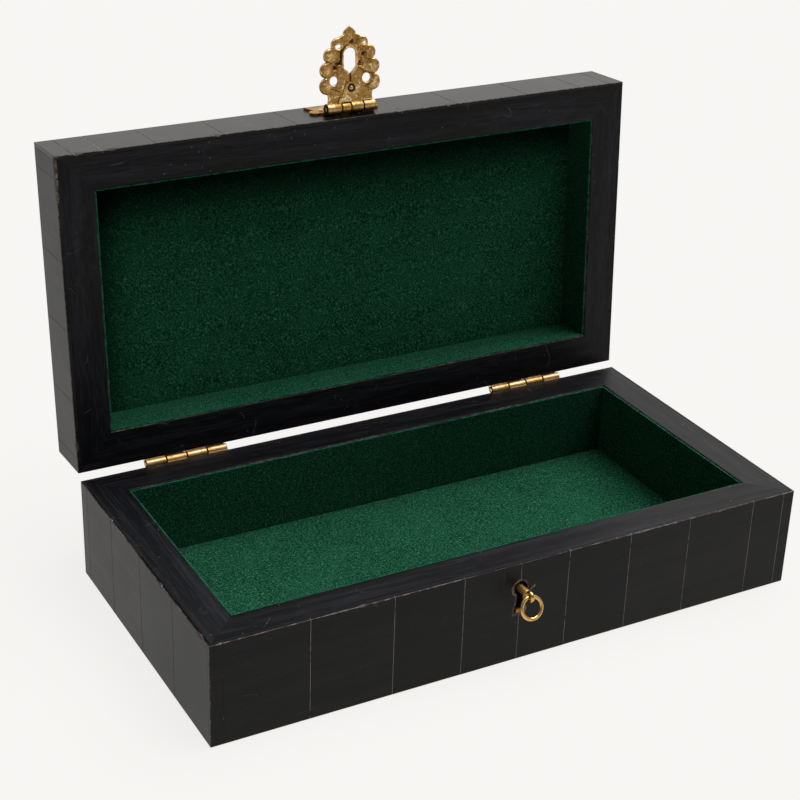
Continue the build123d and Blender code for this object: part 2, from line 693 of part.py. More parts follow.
# Write the lid where it rests open
write("lid_top_board", opened(lid_board))
for name, wall, strip in zip(sides, lid_walls, lid_rims):
    write(f"lid_{name}_wall", opened(wall))
    write(f"lid_{name}_rim", opened(strip))
plate_rows = (lid_front_plates, lid_back_plates, lid_left_plates, lid_right_plates, lid_top_plates)
for name, row in zip((*sides, "top"), plate_rows):
    write(f"lid_{name}_plates", *[opened(plate) for plate in row])
for name, panel in zip(("panel", *sides), lid_linings):
    write(f"lid_{name}_baize", opened(panel))
write("lid_hinge_screws", *[opened(screw) for screw in lid_screws])
write("hasp_leaf", opened(hasp_leaf))
write("hasp_leaf_pins", *[opened(nail) for nail in hasp_leaf_pins])
write("hasp_pin", opened(hasp_pin))
write("hasp_plate", opened(hasp_plate))

# Write the lock and the key
write("lock_case", lock_case)
write("lock_cap", lock_cap)
write("lock_screws", *lock_screws)
write("bolt_spring", bolt_spring)
write("lock_bolt", lock_bolt)
write("lock_cam", lock_cam)
write("key", key)
write("key_ring", key_ring)

lid_reach = opened(lid_board).bounding_box()
print("hinge line y", round(axis_y, 3), "z", round(axis_z, 3))
hasp_at = opened(hasp_pin).bounding_box().center()
print("hasp line y", round(hasp_at.Y, 4), "z", round(hasp_at.Z, 4))
print("bolt travel", round(bolt_travel, 3), "key hole y", round(key_hole_y, 3))
print("lid board reaches y", round(lid_reach.max.Y, 2), "z", round(lid_reach.max.Z, 2))
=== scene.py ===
import bmesh
import bpy
import json
import math
import numpy as np
from mathutils import Matrix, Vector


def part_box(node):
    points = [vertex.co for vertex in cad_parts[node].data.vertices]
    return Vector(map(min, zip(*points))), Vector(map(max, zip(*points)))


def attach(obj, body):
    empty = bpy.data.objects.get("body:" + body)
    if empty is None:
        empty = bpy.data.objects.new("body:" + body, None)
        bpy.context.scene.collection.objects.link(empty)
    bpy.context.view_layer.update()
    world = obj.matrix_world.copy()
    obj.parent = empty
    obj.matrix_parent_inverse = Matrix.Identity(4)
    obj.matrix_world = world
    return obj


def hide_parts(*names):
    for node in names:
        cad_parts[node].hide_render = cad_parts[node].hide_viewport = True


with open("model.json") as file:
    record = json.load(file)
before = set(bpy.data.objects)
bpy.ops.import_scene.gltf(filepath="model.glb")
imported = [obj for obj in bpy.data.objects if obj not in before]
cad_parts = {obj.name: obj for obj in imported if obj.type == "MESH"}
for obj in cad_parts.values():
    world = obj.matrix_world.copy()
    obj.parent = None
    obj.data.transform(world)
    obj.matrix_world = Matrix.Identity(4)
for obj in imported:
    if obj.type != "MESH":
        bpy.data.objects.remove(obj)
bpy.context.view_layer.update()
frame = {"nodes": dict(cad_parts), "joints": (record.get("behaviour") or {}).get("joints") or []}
mm = 0.001
quarterTurn = math.radians(90)

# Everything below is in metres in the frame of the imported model, the box's front towards -Y.
halfX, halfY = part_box("base_front_plates")[1].x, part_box("base_back_plates")[1].y
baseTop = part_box("base_front_plates")[1].z
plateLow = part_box("base_front_plates")[0].z
joints = {joint["name"]: joint for joint in frame["joints"]}
hingeY, hingeZ = joints["lid_hinge"]["pos_m"][1:]
lidAngle = math.radians(joints["lid_hinge"]["range_deg"][1])
haspX, haspY, haspZ = joints["hasp_swing"]["pos_m"]
keyX, keyZ = joints["key_turn"]["pos_m"][0], joints["key_turn"]["pos_m"][2]

casing = {
    "horn": 1.2 * mm,  # plate thickness
    "wall": 13.3 * mm,
    "rim": 1.8 * mm,
    "gap": 0.3 * mm,  # between the rims when shut
    "lidHeight": 23.4 * mm,
    "lidDeep": 17.0 * mm,
    "baseDeep": 31.0 * mm,
    "baize": 0.8 * mm,
    "baizeDrop": 0.3 * mm,
}
lidLow = baseTop + casing["gap"]
lidTop = lidLow + casing["lidHeight"]
woodX, woodY = halfX - casing["horn"], halfY - casing["horn"]
roomX, roomY = woodX - casing["wall"], woodY - casing["wall"]


# Shape helpers


def latticeNoise(points, cell, seed):
    # value noise: random numbers on a lattice of the given cell, blended with a smooth step; the lattice
    # point's numbers are mixed by large primes, so that neighbours get unlike values
    q = np.asarray(points, float) / cell
    low = np.floor(q).astype(np.int64)
    f = q - low
    f = f * f * (3 - 2 * f)
    total = np.zeros(len(q))
    for dx in (0, 1):
        for dy in (0, 1):
            for dz in (0, 1):
                a, b, c = low[:, 0] + dx, low[:, 1] + dy, low[:, 2] + dz
                h = (a * 73856093) ^ (b * 19349663) ^ (c * 83492791) ^ (seed * 2654435761)
                h = (h ^ (h >> 13)) * 1274126177 & 0xFFFFFFFF
                h = (h ^ (h >> 16)) & 0xFFFF
                weight = np.where(dx, f[:, 0], 1 - f[:, 0])
                weight = weight * np.where(dy, f[:, 1], 1 - f[:, 1])
                weight = weight * np.where(dz, f[:, 2], 1 - f[:, 2])
                total += weight * h / 65535.0
    return total


def planeNoise(a, b, cell, seed):
    # the same noise over two coordinates
    return latticeNoise(np.stack([a, b, a * 0], -1).reshape(-1, 3), cell, seed).reshape(np.shape(a))


def softStep(x, low, high):
    # 0 below low, 1 above high, a smooth cubic between
    t = np.clip((x - low) / (high - low), 0, 1)
    return t * t * (3 - 2 * t)


def lidSwing(points):
    # turns points of the shut lid about the hinge line to where the lid stands open
    c, s = math.cos(-lidAngle), math.sin(-lidAngle)
    p = np.array(points, float)
    y, z = p[:, 1] - hingeY, p[:, 2] - hingeZ
    p[:, 1] = hingeY + y * c - z * s
    p[:, 2] = hingeZ + y * s + z * c
    return p


def gridQuads(rows, columns, closedRows=False, closedColumns=False):
    # corner numbers of the cells of a grid of points stored row by row
    r = np.arange(rows if closedRows else rows - 1)
    c = np.arange(columns if closedColumns else columns - 1)
    r, c = np.meshgrid(r, c, indexing="ij")
    r, c = r.ravel(), c.ravel()
    r2, c2 = (r + 1) % rows, (c + 1) % columns
    return np.stack([r * columns + c, r * columns + c2, r2 * columns + c2, r2 * columns + c], 1)


class Shape:
    # points, four-cornered faces (a triangle repeats its last corner), and values kept at the points
    def __init__(self, points, quads, **values):
        self.points = np.asarray(points, float)
        self.quads = np.asarray(quads, np.int64).reshape(-1, 4)
        many = len(self.points)
        self.values = {k: np.broadcast_to(np.asarray(v, float), many).copy() for k, v in values.items()}

    def moved(self, change):
        return Shape(change(self.points), self.quads, **self.values)

    def turnedOut(self):
        return Shape(self.points, self.quads[:, ::-1], **self.values)

    def withLid(self, body):
        # shapes of the lid are drawn shut, and swung open last
        return self.moved(lidSwing) if body == "lid" else self


def joined(shapes):
    start, points, quads = 0, [], []
    values = {k: [] for k in sorted({k for shape in shapes for k in shape.values})}
    for shape in shapes:
        points.append(shape.points)
        quads.append(shape.quads + start)
        for k in values:
            values[k].append(shape.values.get(k, np.zeros(len(shape.points))))
        start += len(shape.points)
    together = {k: np.concatenate(v) for k, v in values.items()}
    return Shape(np.concatenate(points), np.concatenate(quads), **together)


def outward(shape):
    # turns a closed shape's faces out if its volume comes out negative
    p, q = shape.points, shape.quads
    volume = np.einsum("ij,ij->i", p[q[:, 0]], np.cross(p[q[:, 1]], p[q[:, 2]])).sum()
    volume += np.einsum("ij,ij->i", p[q[:, 0]], np.cross(p[q[:, 2]], p[q[:, 3]])).sum()
    return shape if volume > 0 else shape.turnedOut()


def placed(name, mesh, material, body, slot, stands, flatAngle):
    # an object for a mesh, smooth but for its sharp edges, that rides on a body and stands for CAD nodes
    mesh.polygons.foreach_set("use_smooth", np.ones(len(mesh.polygons), bool))
    if flatAngle:
        mesh.set_sharp_from_angle(angle=math.radians(flatAngle))
    mesh.materials.append(material)
    piece = bpy.data.objects.new(name, mesh)
    bpy.context.scene.collection.objects.link(piece)
    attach(piece, body)
    if stands:
        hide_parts(*stands)
    return piece


def addPiece(name, shape, material, body, slot, stands=(), flatAngle=40):
    # puts a Shape into a mesh object
    mesh = bpy.data.meshes.new(name)
    quads = shape.quads
    triangle = quads[:, 3] == quads[:, 2]
    counts = np.where(triangle, 3, 4)
    keep = np.ones(quads.shape, bool)
    keep[triangle, 3] = False
    corners = quads[keep]
    mesh.vertices.add(len(shape.points))
    mesh.vertices.foreach_set("co", shape.points.astype(np.float32).ravel())
    mesh.loops.add(len(corners))
    mesh.loops.foreach_set("vertex_index", corners.astype(np.int32))
    mesh.polygons.add(len(quads))
    starts = np.concatenate([[0], np.cumsum(counts)[:-1]])
    mesh.polygons.foreach_set("loop_start", starts.astype(np.int32))
    mesh.polygons.foreach_set("loop_total", counts.astype(np.int32))
    for key, value in shape.values.items():
        layer = mesh.attributes.new(key, "FLOAT", "POINT")
        layer.data.foreach_set("value", value.astype(np.float32))
    mesh.update(calc_edges=True)
    mesh.validate()
    return placed(name, mesh, material, body, slot, stands, flatAngle)


def edgeLines(length, radius, step):
    # places along an edge: close together over the rounded ends, then opening out to the step
    near = radius * np.array([0, 0.3, 0.65, 1.0])
    opening, fineFor = 1.6, 3 * mm
    out, place, gap = [], radius, radius
    while place < min(length / 2, fineFor):
        gap = min(gap * opening, step)
        place += gap
        out.append(place)
    out = [p for p in out if p < length * 0.45]
    last = out[-1] if out else radius
    count = max(1, int(math.ceil((length - 2 * last) / step)))
    middle = np.linspace(last, length - last, count + 1)[1:-1]
    left = np.concatenate([near, out])
    return np.unique(np.round(np.concatenate([left, middle, length - left]), 9))


def roundedBlock(low, high, radius, step):
    # points on a box's faces, drawn in to a smaller box and pushed out again by the radius, so that all
    # its edges are round
    low, high = np.array(low, float), np.array(high, float)
    lines = [low[k] + edgeLines(high[k] - low[k], radius, step) for k in range(3)]
    shapes = []
    for axis in range(3):
        a, b = [k for k in range(3) if k != axis]
        u, v = np.meshgrid(lines[a], lines[b], indexing="ij")
        quads = gridQuads(len(lines[a]), len(lines[b]))
        for side in (0, 1):
            p = np.zeros((u.size, 3))
            p[:, a], p[:, b] = u.ravel(), v.ravel()
            p[:, axis] = high[axis] if side else low[axis]
            shapes.append(Shape(p, quads if (side == 1) == (axis == 1) else quads[:, ::-1]))
    whole = joined(shapes)
    grid = 1e8  # points that fall on the same hundredth of a micron are one
    keys, back = np.unique(np.round(whole.points * grid).astype(np.int64), axis=0, return_inverse=True)
    p = keys / grid
    inner = np.clip(p, low + radius, high - radius)
    away = p - inner
    away /= np.maximum(np.linalg.norm(away, axis=1, keepdims=True), 1e-12)
    return Shape(inner + away * radius, back.ravel()[whole.quads])


def lathe(profile, sides, axis, facets, facetDepth):
    # (distance along, radius) pairs turned about an axis; facets draw the radius in between corners
    profile = np.asarray(profile, float)
    turn = np.linspace(0, 2 * math.pi, sides, endpoint=False)
    scale = 1 - facetDepth * (0.5 + 0.5 * np.cos(facets * turn))
    along = np.repeat(profile[:, 0], sides)
    radius = (profile[:, 1:2] * scale[None, :]).ravel()
    c, s = np.tile(np.cos(turn), len(profile)), np.tile(np.sin(turn), len(profile))
    points = np.zeros((len(along), 3))
    points[:, axis] = along
    points[:, (axis + 1) % 3] = radius * c
    points[:, (axis + 2) % 3] = radius * s
    quads = gridQuads(len(profile), sides, closedColumns=True)[:, ::-1]
    ends = len(points)
    points = np.vstack([points, points[:sides].mean(0), points[-sides:].mean(0)])
    ring = np.arange(sides)
    nextRing = (ring + 1) % sides
    first = np.stack([nextRing, ring, np.full(sides, ends), np.full(sides, ends)], 1)
    base = (len(profile) - 1) * sides
    last = np.stack([base + ring, base + nextRing, np.full(sides, ends + 1), np.full(sides, ends + 1)], 1)
    return Shape(points, np.vstack([quads, first, last]))


def ringShape(big, halfAcross, halfAlong, turns, sides, wobble):
    # a ring about X: an oval section carried round a circle
    a = np.linspace(0, 2 * math.pi, turns, endpoint=False)
    b = np.linspace(0, 2 * math.pi, sides, endpoint=False)
    a, b = np.meshgrid(a, b, indexing="ij")
    r = big + halfAcross * np.cos(b) * (1 + wobble * np.sin(3 * a + 1.0))
    along = halfAlong * np.sin(b) * (1 + wobble * np.sin(2 * a))
    points = np.stack([along, r * np.cos(a), r * np.sin(a)], -1)
    return Shape(points.reshape(-1, 3), gridQuads(turns, sides, True, True)[:, ::-1])


# Material helpers


class Wire:
    # a shader socket that adds, subtracts and multiplies like a number, by one Math node each time
    def __init__(self, tree, socket):
        self.tree, self.socket = tree, socket

    def maths(self, operation, other=0.0):
        return node(self.tree, "ShaderNodeMath", {0: self, 1: other}, operation=operation)[0]

    def __add__(self, other):
        return self.maths("ADD", other)

    def __sub__(self, other):
        return self.maths("SUBTRACT", other)

    def __mul__(self, other):
        return self.maths("MULTIPLY", other)

    def larger(self, other):
        return self.maths("MAXIMUM", other)

    def clamped(self):
        # keeps the last result between 0 and 1
        self.socket.node.use_clamp = True
        return self

    def ramp(self, low, high, toLow=0.0, toHigh=1.0):
        # toLow at low, toHigh at high, a smooth step between
        inputs = {"Value": self, "From Min": low, "From Max": high, "To Min": toLow, "To Max": toHigh}
        return node(self.tree, "ShaderNodeMapRange", inputs, interpolation_type="SMOOTHSTEP")[0]


def connect(tree, made, inputs):
    for key, value in inputs.items():
        if isinstance(value, Wire):
            tree.links.new(value.socket, made.inputs[key])
        else:
            made.inputs[key].default_value = value


def node(tree, kind, inputs=None, **settings):
    # a new node; its outputs come back as wires, by number and by name
    made = tree.nodes.new(kind)
    for key, value in settings.items():
        setattr(made, key, value)
    connect(tree, made, inputs or {})
    wires = [Wire(tree, socket) for socket in made.outputs]
    return {**dict(enumerate(wires)), **{wire.socket.name: wire for wire in wires}}


def noise(place, scale, detail=3.0, roughness=0.55):
    inputs = {"Vector": place, "Scale": scale, "Detail": detail, "Roughness": roughness}
    return node(place.tree, "ShaderNodeTexNoise", inputs)["Fac"]


def stretched(place, scale, turn=(0.0, 0.0, 0.0)):
    inputs = {"Vector": place, "Scale": scale, "Rotation": turn}
    return node(place.tree, "ShaderNodeMapping", inputs)["Vector"]


def vectorMaths(operation, a, b):
    return node(a.tree, "ShaderNodeVectorMath", {0: a, 1: b}, operation=operation)


def blend(factor, a, b):
    return node(factor.tree, "ShaderNodeMix", {0: factor, 6: a, 7: b}, data_type="RGBA")[2]


def layered(colour, *layers):
    # lays colours over a first one: each layer is (how much of it, its colour)
    for factor, over in layers:
        colour = blend(factor, colour, over)
    return colour


def rgb(r, g, b):
    return (r, g, b, 1.0)


def newGroup(name, **inputs):
    # a node group that takes a place, called Vector, and numbers with the given defaults
    group = bpy.data.node_groups.new(name, "ShaderNodeTree")
    group.interface.new_socket(name="Vector", in_out="INPUT", socket_type="NodeSocketVector")
    for label, value in inputs.items():
        socket = group.interface.new_socket(name=label, in_out="INPUT", socket_type="NodeSocketFloat")
        socket.default_value = value
    return group, node(group, "NodeGroupInput")


def giveOut(group, **results):
    for label in results:
        group.interface.new_socket(name=label, in_out="OUTPUT", socket_type="NodeSocketFloat")
    node(group, "NodeGroupOutput", results)


def useGroup(group, place, **inputs):
    return node(place.tree, "ShaderNodeGroup", {"Vector": place, **inputs}, node_tree=group)


def shade(material, **inputs):
    # gives the material's shader its values and wires
    tree = material.node_tree
    named = {key.replace("_", " "): value for key, value in inputs.items()}
    connect(tree, tree.nodes["Principled BSDF"], named)


def newMaterial(name, **inputs):
    # the material, and the wire with the place on the object
    material = bpy.data.materials.new(name)
    material.use_nodes = True
    shade(material, **inputs)
    return material, node(material.node_tree, "ShaderNodeTexCoord")["Object"]


def kept(place, name):
    # a value kept at the mesh's points
    return node(place.tree, "ShaderNodeAttribute", attribute_name=name)["Fac"]


def bump(height, strength, distance):
    inputs = {"Height": height, "Strength": strength, "Distance": distance}
    return node(height.tree, "ShaderNodeBump", inputs)["Normal"]


# Noise grains in cells per metre: 1000 gives a grain of about 1 mm
grains = {
    "edgePatches": 60.0,
    "edgeRagged": 900.0,
    "streakFine": 1700.0,
    "streakBand": 260.0,
    # (scratch lines, their breaks, where the noise starts)
    "scratches": ((34.0, 95.0, 0.0), (61.0, 150.0, 3.7)),
    "scuffs": 75.0,
    "dust": 700.0,
    "dustCrowds": 48.0,
    "tarnish": 330.0,
    "casting": 2600.0,
    "spots": 900.0,
    "hornClouds": 38.0,
    "bareTones": 420.0,
    "seams": 240.0,
    "clothClumps": 1350.0,
    "clothTufts": 3600.0,
    "clothDrift": 45.0,
    "clothFray": 300.0,
    "fibres": 500.0,
    "brassTones": 170.0,
    "woodLines": 420.0,
    "woodGrowth": 90.0,
    "steel": 700.0,
}

# Effects that several materials share

# Edge wear: pale where the horn is rubbed thin along an arris, ragged by noise, wider at nicks
edgeWear, given = newGroup("edge_wear", Edge=5.0, Nick=0.0, Width=0.35, Raggedness=0.5)
patchy = noise(given["Vector"], grains["edgePatches"], 3.0, 0.6).ramp(0.36, 0.66, 0.6, 1.35)
loose = (noise(given["Vector"], grains["edgeRagged"], 4.0, 0.65) - 0.5) * given["Raggedness"]
reach = given["Width"] * patchy + given["Nick"] * 1.1
giveOut(edgeWear, Mask=(reach - given["Edge"] + loose).ramp(-0.05, 0.12))

# Scraper marks: long fine streaks, with broad soft bands under them
streakMarks, given = newGroup("scraper_streaks", Long=0.03)
stretch = node(streakMarks, "ShaderNodeCombineXYZ", {0: given["Long"], 1: 1.0, 2: 1.0})[0]
streakPlace = vectorMaths("MULTIPLY", given["Vector"], stretch)[0]
giveOut(streakMarks, Fine=noise(streakPlace, grains["streakFine"], 3.0, 0.6),
        Band=noise(streakPlace, grains["streakBand"], 3.0, 0.5))

# Scratches: thin contour lines of a slow noise, cut short by a second one, and soft scuffed patches
fineScratches, given = newGroup("fine_scratches", Amount=0.5)
lineMasks = []
for lineGrain, breakGrain, start in grains["scratches"]:
    shifted = vectorMaths("ADD", given["Vector"], (start, start * 0.7, start * 1.3))[0]
    offLine = (noise(shifted, lineGrain, 1.0, 0.4) - 0.5).maths("ABSOLUTE")
    lineMasks.append(offLine.ramp(0.0045, 0.0010) * noise(shifted, breakGrain, 2.0, 0.5).ramp(0.60, 0.68))
scuffed = noise(given["Vector"], grains["scuffs"], 5.0, 0.7).ramp(0.56, 0.74)
giveOut(fineScratches, Line=lineMasks[0].larger(lineMasks[1]) * given["Amount"],
        Scuff=scuffed * given["Amount"])

# Dust: small pale specks, few where the surface is clean and crowded where it is scuffed
dustSpecks, given = newGroup("dust_specks", Amount=0.5, Clusters=0.2)
speck = node(dustSpecks, "ShaderNodeTexVoronoi", {"Vector": given["Vector"], "Scale": grains["dust"]})
crowd = noise(given["Vector"], grains["dustCrowds"], 3.0, 0.6).ramp(0.48, 0.66) * given["Clusters"]
speckSize = node(dustSpecks, "ShaderNodeSeparateColor", {0: speck["Color"]})[0] + crowd * 0.10
speckMask = (speckSize.ramp(0.965, 1.03) * 0.22 - speck["Distance"]).ramp(-0.03, 0.03)
giveOut(dustSpecks, Mask=speckMask * given["Amount"])

# Tarnish: brown in hollows and in cloudy patches, with the fine grain of a casting; the hollow value also
# carries painted shade where the key's shank is in the hole
tarnish, given = newGroup("brass_tarnish", Hollow=0.0, Cloud=0.5)
clouded = noise(given["Vector"], grains["tarnish"], 5.0, 0.62).ramp(0.44, 0.72) * given["Cloud"]
giveOut(tarnish, Mask=clouded.larger(given["Hollow"]),
        Height=noise(given["Vector"], grains["casting"], 4.0, 0.6),
        Spot=noise(given["Vector"], grains["spots"], 2.0, 0.5).ramp(0.68, 0.76))

print("shared effects ready")

# Horn: dark plates, rim strips and the filler between plates

hornLook = {
    # wear is the width of the pale edges in mm, streaks the grain along the scraper marks against across
    "plate": {
        "dark": rgb(0.0040, 0.0038, 0.0037), "light": rgb(0.0110, 0.0102, 0.0098), "rough": 0.34,
        "streaks": 0.06, "wear": 0.27, "scratches": 0.25, "dust": 0.15, "ior": 1.25,
    },
    "rim": {
        "dark": rgb(0.0016, 0.0017, 0.0028), "light": rgb(0.0150, 0.0154, 0.0200), "rough": 0.42,
        "streaks": 0.05, "wear": 0.20, "scratches": 0.8, "dust": 0.9, "ior": 1.25,
    },
    "scuff": rgb(0.030, 0.030, 0.035),
    "scratch": rgb(0.085, 0.080, 0.080),
    "bare": rgb(0.235, 0.205, 0.190),
    "bareRed": rgb(0.075, 0.052, 0.044),
    "filler": rgb(0.250, 0.208, 0.186),
    "fillerDark": rgb(0.008, 0.007, 0.0068),
    "dust": rgb(0.16, 0.15, 0.145),
    "bump": (0.30, 0.04 * mm),  # strength and depth
}


def hornMaterial(name, family, streakTurn, **changes):
    look = {**hornLook[family], **changes}
    material, place = newMaterial(name, IOR=look["ior"])
    streaks = useGroup(streakMarks, stretched(place, (1, 1, 1), streakTurn), Long=look["streaks"])
    mixed = streaks["Fine"] * 0.55 + streaks["Band"] * 0.45 + kept(place, "tone") * 0.22
    scratched = useGroup(fineScratches, place, Amount=look["scratches"])
    worn = useGroup(edgeWear, place, Edge=kept(place, "edge"), Nick=kept(place, "nick"), Width=look["wear"],
                    Raggedness=0.55)["Mask"]
    bareTones = noise(place, grains["bareTones"]).ramp(0.42, 0.62)
    dust = useGroup(dustSpecks, place, Amount=0.5, Clusters=look["dust"])
    colour = layered(
        look["dark"],
        (mixed.ramp(0.42, 0.68), look["light"]),
        (scratched["Scuff"] * 0.45, hornLook["scuff"]),
        (scratched["Line"], hornLook["scratch"]),
        (worn * 0.9, blend(bareTones, hornLook["bareRed"], hornLook["bare"])),
        (dust["Mask"], hornLook["dust"]),
    )
    roughness = noise(place, grains["hornClouds"], 4.0) * 0.10 + (look["rough"] - 0.06)
    roughness = (roughness + streaks["Fine"] * 0.05 + worn * 0.3).clamped()
    height = streaks["Fine"] * 0.5 + streaks["Band"] - worn * 1.5
    shade(material, Base_Color=colour, Roughness=roughness, Normal=bump(height, *hornLook["bump"]))
    return material


alongX, alongY, alongZ = (0.0, 0.06, 0.0), (0.0, 0.0, quarterTurn), (0.0, quarterTurn, 0.0)
plateHorn = hornMaterial("horn_plate_look", "plate", alongX)
# the sides' horn: a lighter copy of the plates' look, painted light for the sides, which show lighter
sideHornLit = hornMaterial("horn_side_look", "plate", alongY, light=rgb(0.0240, 0.0215, 0.0200), wear=0.22,
                        ior=1.20)
lidPlateHorn = hornMaterial("horn_lid_plate_look", "plate", alongX, rough=0.25, wear=0.16, scratches=0.3,
                            ior=1.255)
rimAlongX = hornMaterial("horn_rim_long", "rim", (0.0, 0.0, 0.02))
rimAcross = hornMaterial("horn_rim_short", "rim", alongY, ior=1.30)
rimUpright = hornMaterial("horn_rim_upright", "rim", alongZ)

# The line between two plates: dark, with pale glue showing in spots, and nearly everywhere where "glue" is 1
seamLook, seamPlace = newMaterial("seam_look", Roughness=0.6, IOR=hornLook["plate"]["ior"])
glueShows = (noise(seamPlace, grains["seams"], 4.0, 0.6) + kept(seamPlace, "glue") * 0.24).ramp(0.58, 0.74)
shade(seamLook, Base_Color=blend(glueShows, hornLook["fillerDark"], hornLook["filler"]))

plateRows = {
    "radius": 0.10 * mm,
    "step": 1.3 * mm,
    "topStep": 1.5 * mm,
    "arris": 0.22 * mm,  # how far an outer corner is rubbed round
    "seam": 0.18 * mm,
    "fillerDepth": 0.05 * mm,
    "fillerBack": 0.10 * mm,  # how far the filler stays clear of the wood
    "fillerRound": 0.02 * mm,
    "fillerStep": 8 * mm,
    "nickDepth": 0.182 * mm,
    "wearReach": 1.2 * mm,  # nicks draw the surface in this far from an arris
    "unevenness": 0.05 * mm,
    # joints along each row, in mm from the box's middle
    "baseFront": (-120, -87, -54, -25.5, -1.5, 19.5, 47, 74.5, 105, 120),
    "baseBack": (-120, -93, -62.5, -31, 0.5, 29, 60, 91.5, 120),
    "baseSide": (-30.7, 0.8, 30.3, 57),
    "lidFront": (-118, -106.5, -85.5, -58, -27.3, -1.5, 18.7, 44, 77.3, 103.3, 118),
    "lidBack": (-118, -90, -60.5, -29, 1.5, 33, 61, 92, 118),
    "lidSide": (-54.9, -23.1, 4.5, 33.3, 57.2),
    "lidTop": (-93, -62, -31.5, 0, 30.5, 62.5, 94),
    "lidSplit": (2.0,),
    # rows whose joints are pale, and joints unlike the rest of their row
    "paleRows": ("base_front_horn", "base_back_horn"),
    "otherSeams": {"base_front_horn": (-120.0,), "lid_front_horn": (-106.5, 18.7)},
}
fillerHalf = plateRows["seam"] / 2 + plateRows["radius"] / 2

# Nicks seen along the arrises of the mouth, in mm: (x, reach) along the front, (y, reach) along the left
knownNicks = {
    "base": {
        "front": ((-120.5, 1.2), (-112.6, 1.0), (-103.0, 1.0), (-66.5, 1.6), (20.2, 1.0), (51.5, 1.2),
                  (66.5, 1.2), (79.0, 1.0), (88.0, 1.4), (99.0, 1.2)),
        "left": ((-56.0, 2.4), (-20.0, 1.6), (30.0, 1.6)),
    },
    "lid": {
        "front": ((-116.0, 2.6), (-103.0, 2.6), (-61.0, 1.6), (40.0, 1.4)),
        "left": ((-61.5, 3.6), (-58.0, 5.0), (-53.5, 4.0), (-48.0, 2.4), (52.0, 2.4)),
    },
}


def outerWear(points, low, high):
    # distance in mm to the nearest outer arris, and how deep that arris is nicked there, from 0 to 1
    low, high = np.array(low), np.array(high)
    gaps = np.sort(np.minimum(np.abs(points - low), np.abs(high - points)), axis=1)
    edge = np.clip(gaps[:, 1] / mm, 0, 6)
    rough = latticeNoise(points, 2.6 * mm, 11) * latticeNoise(points, 0.9 * mm, 12)
    nick = softStep(rough, 0.64, 0.92) * 0.32
    seen = knownNicks["base" if low[2] < baseTop / 2 else "lid"]
    places = [(x * mm, -halfY, reach) for x, reach in seen["front"]]
    places += [(-halfX, y * mm, reach) for y, reach in seen["left"]]
    for x, y, reach in places:
        away = np.linalg.norm(points - np.array([x, y, lidLow]), axis=1) / (reach * 0.6 * mm)
        nick = np.maximum(nick, np.exp(-(away**2)) * (0.7 + 0.6 * latticeNoise(points, 0.6 * mm, 13)))
    nick = nick * (1 - softStep(edge, 0.5, 1.6))
    return edge, nick


def wornPlate(low, high, outer, tone, facing, step):
    # one plate: a rounded block whose outer arrises are rubbed down and nicked
    shape = roundedBlock(low, high, plateRows["radius"], step)
    p = shape.points
    edge, nick = outerWear(p, *outer)
    middle = (np.array(outer[0]) + np.array(outer[1])) / 2
    half = (np.array(outer[1]) - np.array(outer[0])) / 2
    reach = np.abs(p - middle) - half + plateRows["arris"]
    past = np.maximum(reach, 0)
    beyond = np.sqrt((past**2).sum(1)) - plateRows["arris"]
    pull = np.where((reach > 0).sum(1) > 1, np.maximum(beyond, 0), 0)
    direction = -past * np.sign(p - middle)
    direction /= np.maximum(np.linalg.norm(direction, axis=1, keepdims=True), 1e-12)
    p = p + direction * pull[:, None]
    inward = -np.sign(p - middle) * (reach > -plateRows["wearReach"])
    p = p + inward * (nick * plateRows["nickDepth"])[:, None]
    swell = (latticeNoise(p, 14 * mm, 21) - 0.5) * softStep(edge, 0.3, 4.0)
    p = p - np.array(facing) * (plateRows["unevenness"] * np.abs(swell))[:, None]
    return Shape(p, shape.quads, edge=edge, nick=nick, tone=tone)


def seamBlock(low, high, glue=0.0):
    seam = roundedBlock(low, high, plateRows["fillerRound"], plateRows["fillerStep"])
    return Shape(seam.points, seam.quads, glue=glue)


def rowSpans(start, marks, end):
    marks = [start, *[m * mm for m in marks], end]
    half = plateRows["seam"] / 2
    last = len(marks) - 2
    pairs = enumerate(zip(marks, marks[1:]))
    return [(a + (half if i else 0), b - (half if i < last else 0)) for i, (a, b) in pairs]


def plateRow(name, marks, axis, side, outer, rng, skip):
    # a row of plates on one side of the base or lid: axis 0 runs along X, axis 1 along Y
    shapes, fillers = [], []
    z0, z1 = outer[0][2], outer[1][2]
    out, deep, ends = ((halfY, woodY, halfX), (halfX, woodX, woodY))[axis]
    facing = [0, 0, 0]
    facing[1 - axis] = side

    def corners(a, b, inner, outside, sunk):
        low, high = [0, 0, z0 + sunk], [0, 0, z1 - sunk]
        low[axis], high[axis] = a, b
        low[1 - axis], high[1 - axis] = sorted((side * inner, side * outside))
        return low, high

    for i, (a, b) in enumerate(rowSpans(-ends, marks, ends)):
        tone = rng.uniform(-0.5, 0.5)
        if i not in skip:
            shapes.append(wornPlate(*corners(a, b, deep, out, 0), outer, tone, facing, plateRows["step"]))
    sunk = plateRows["fillerDepth"]
    for m in [m * mm for m in marks] + ([-woodY, woodY] if axis == 1 else []):
        a, b = max(m - fillerHalf, -halfX + sunk), min(m + fillerHalf, halfX - sunk)
        unlike = round(m / mm, 1) in plateRows["otherSeams"].get(name, ())
        pale = (name in plateRows["paleRows"]) != unlike
        low, high = corners(a, b, deep + plateRows["fillerBack"], out - sunk, sunk)
        fillers.append(seamBlock(low, high, float(pale)))
    return shapes, fillers


rng = np.random.default_rng(7)
outerCorner = {
    "base": ((-halfX, -halfY, plateLow), (halfX, halfY, baseTop)),
    "lid": ((-halfX, -halfY, lidLow), (halfX, halfY, lidTop)),
}

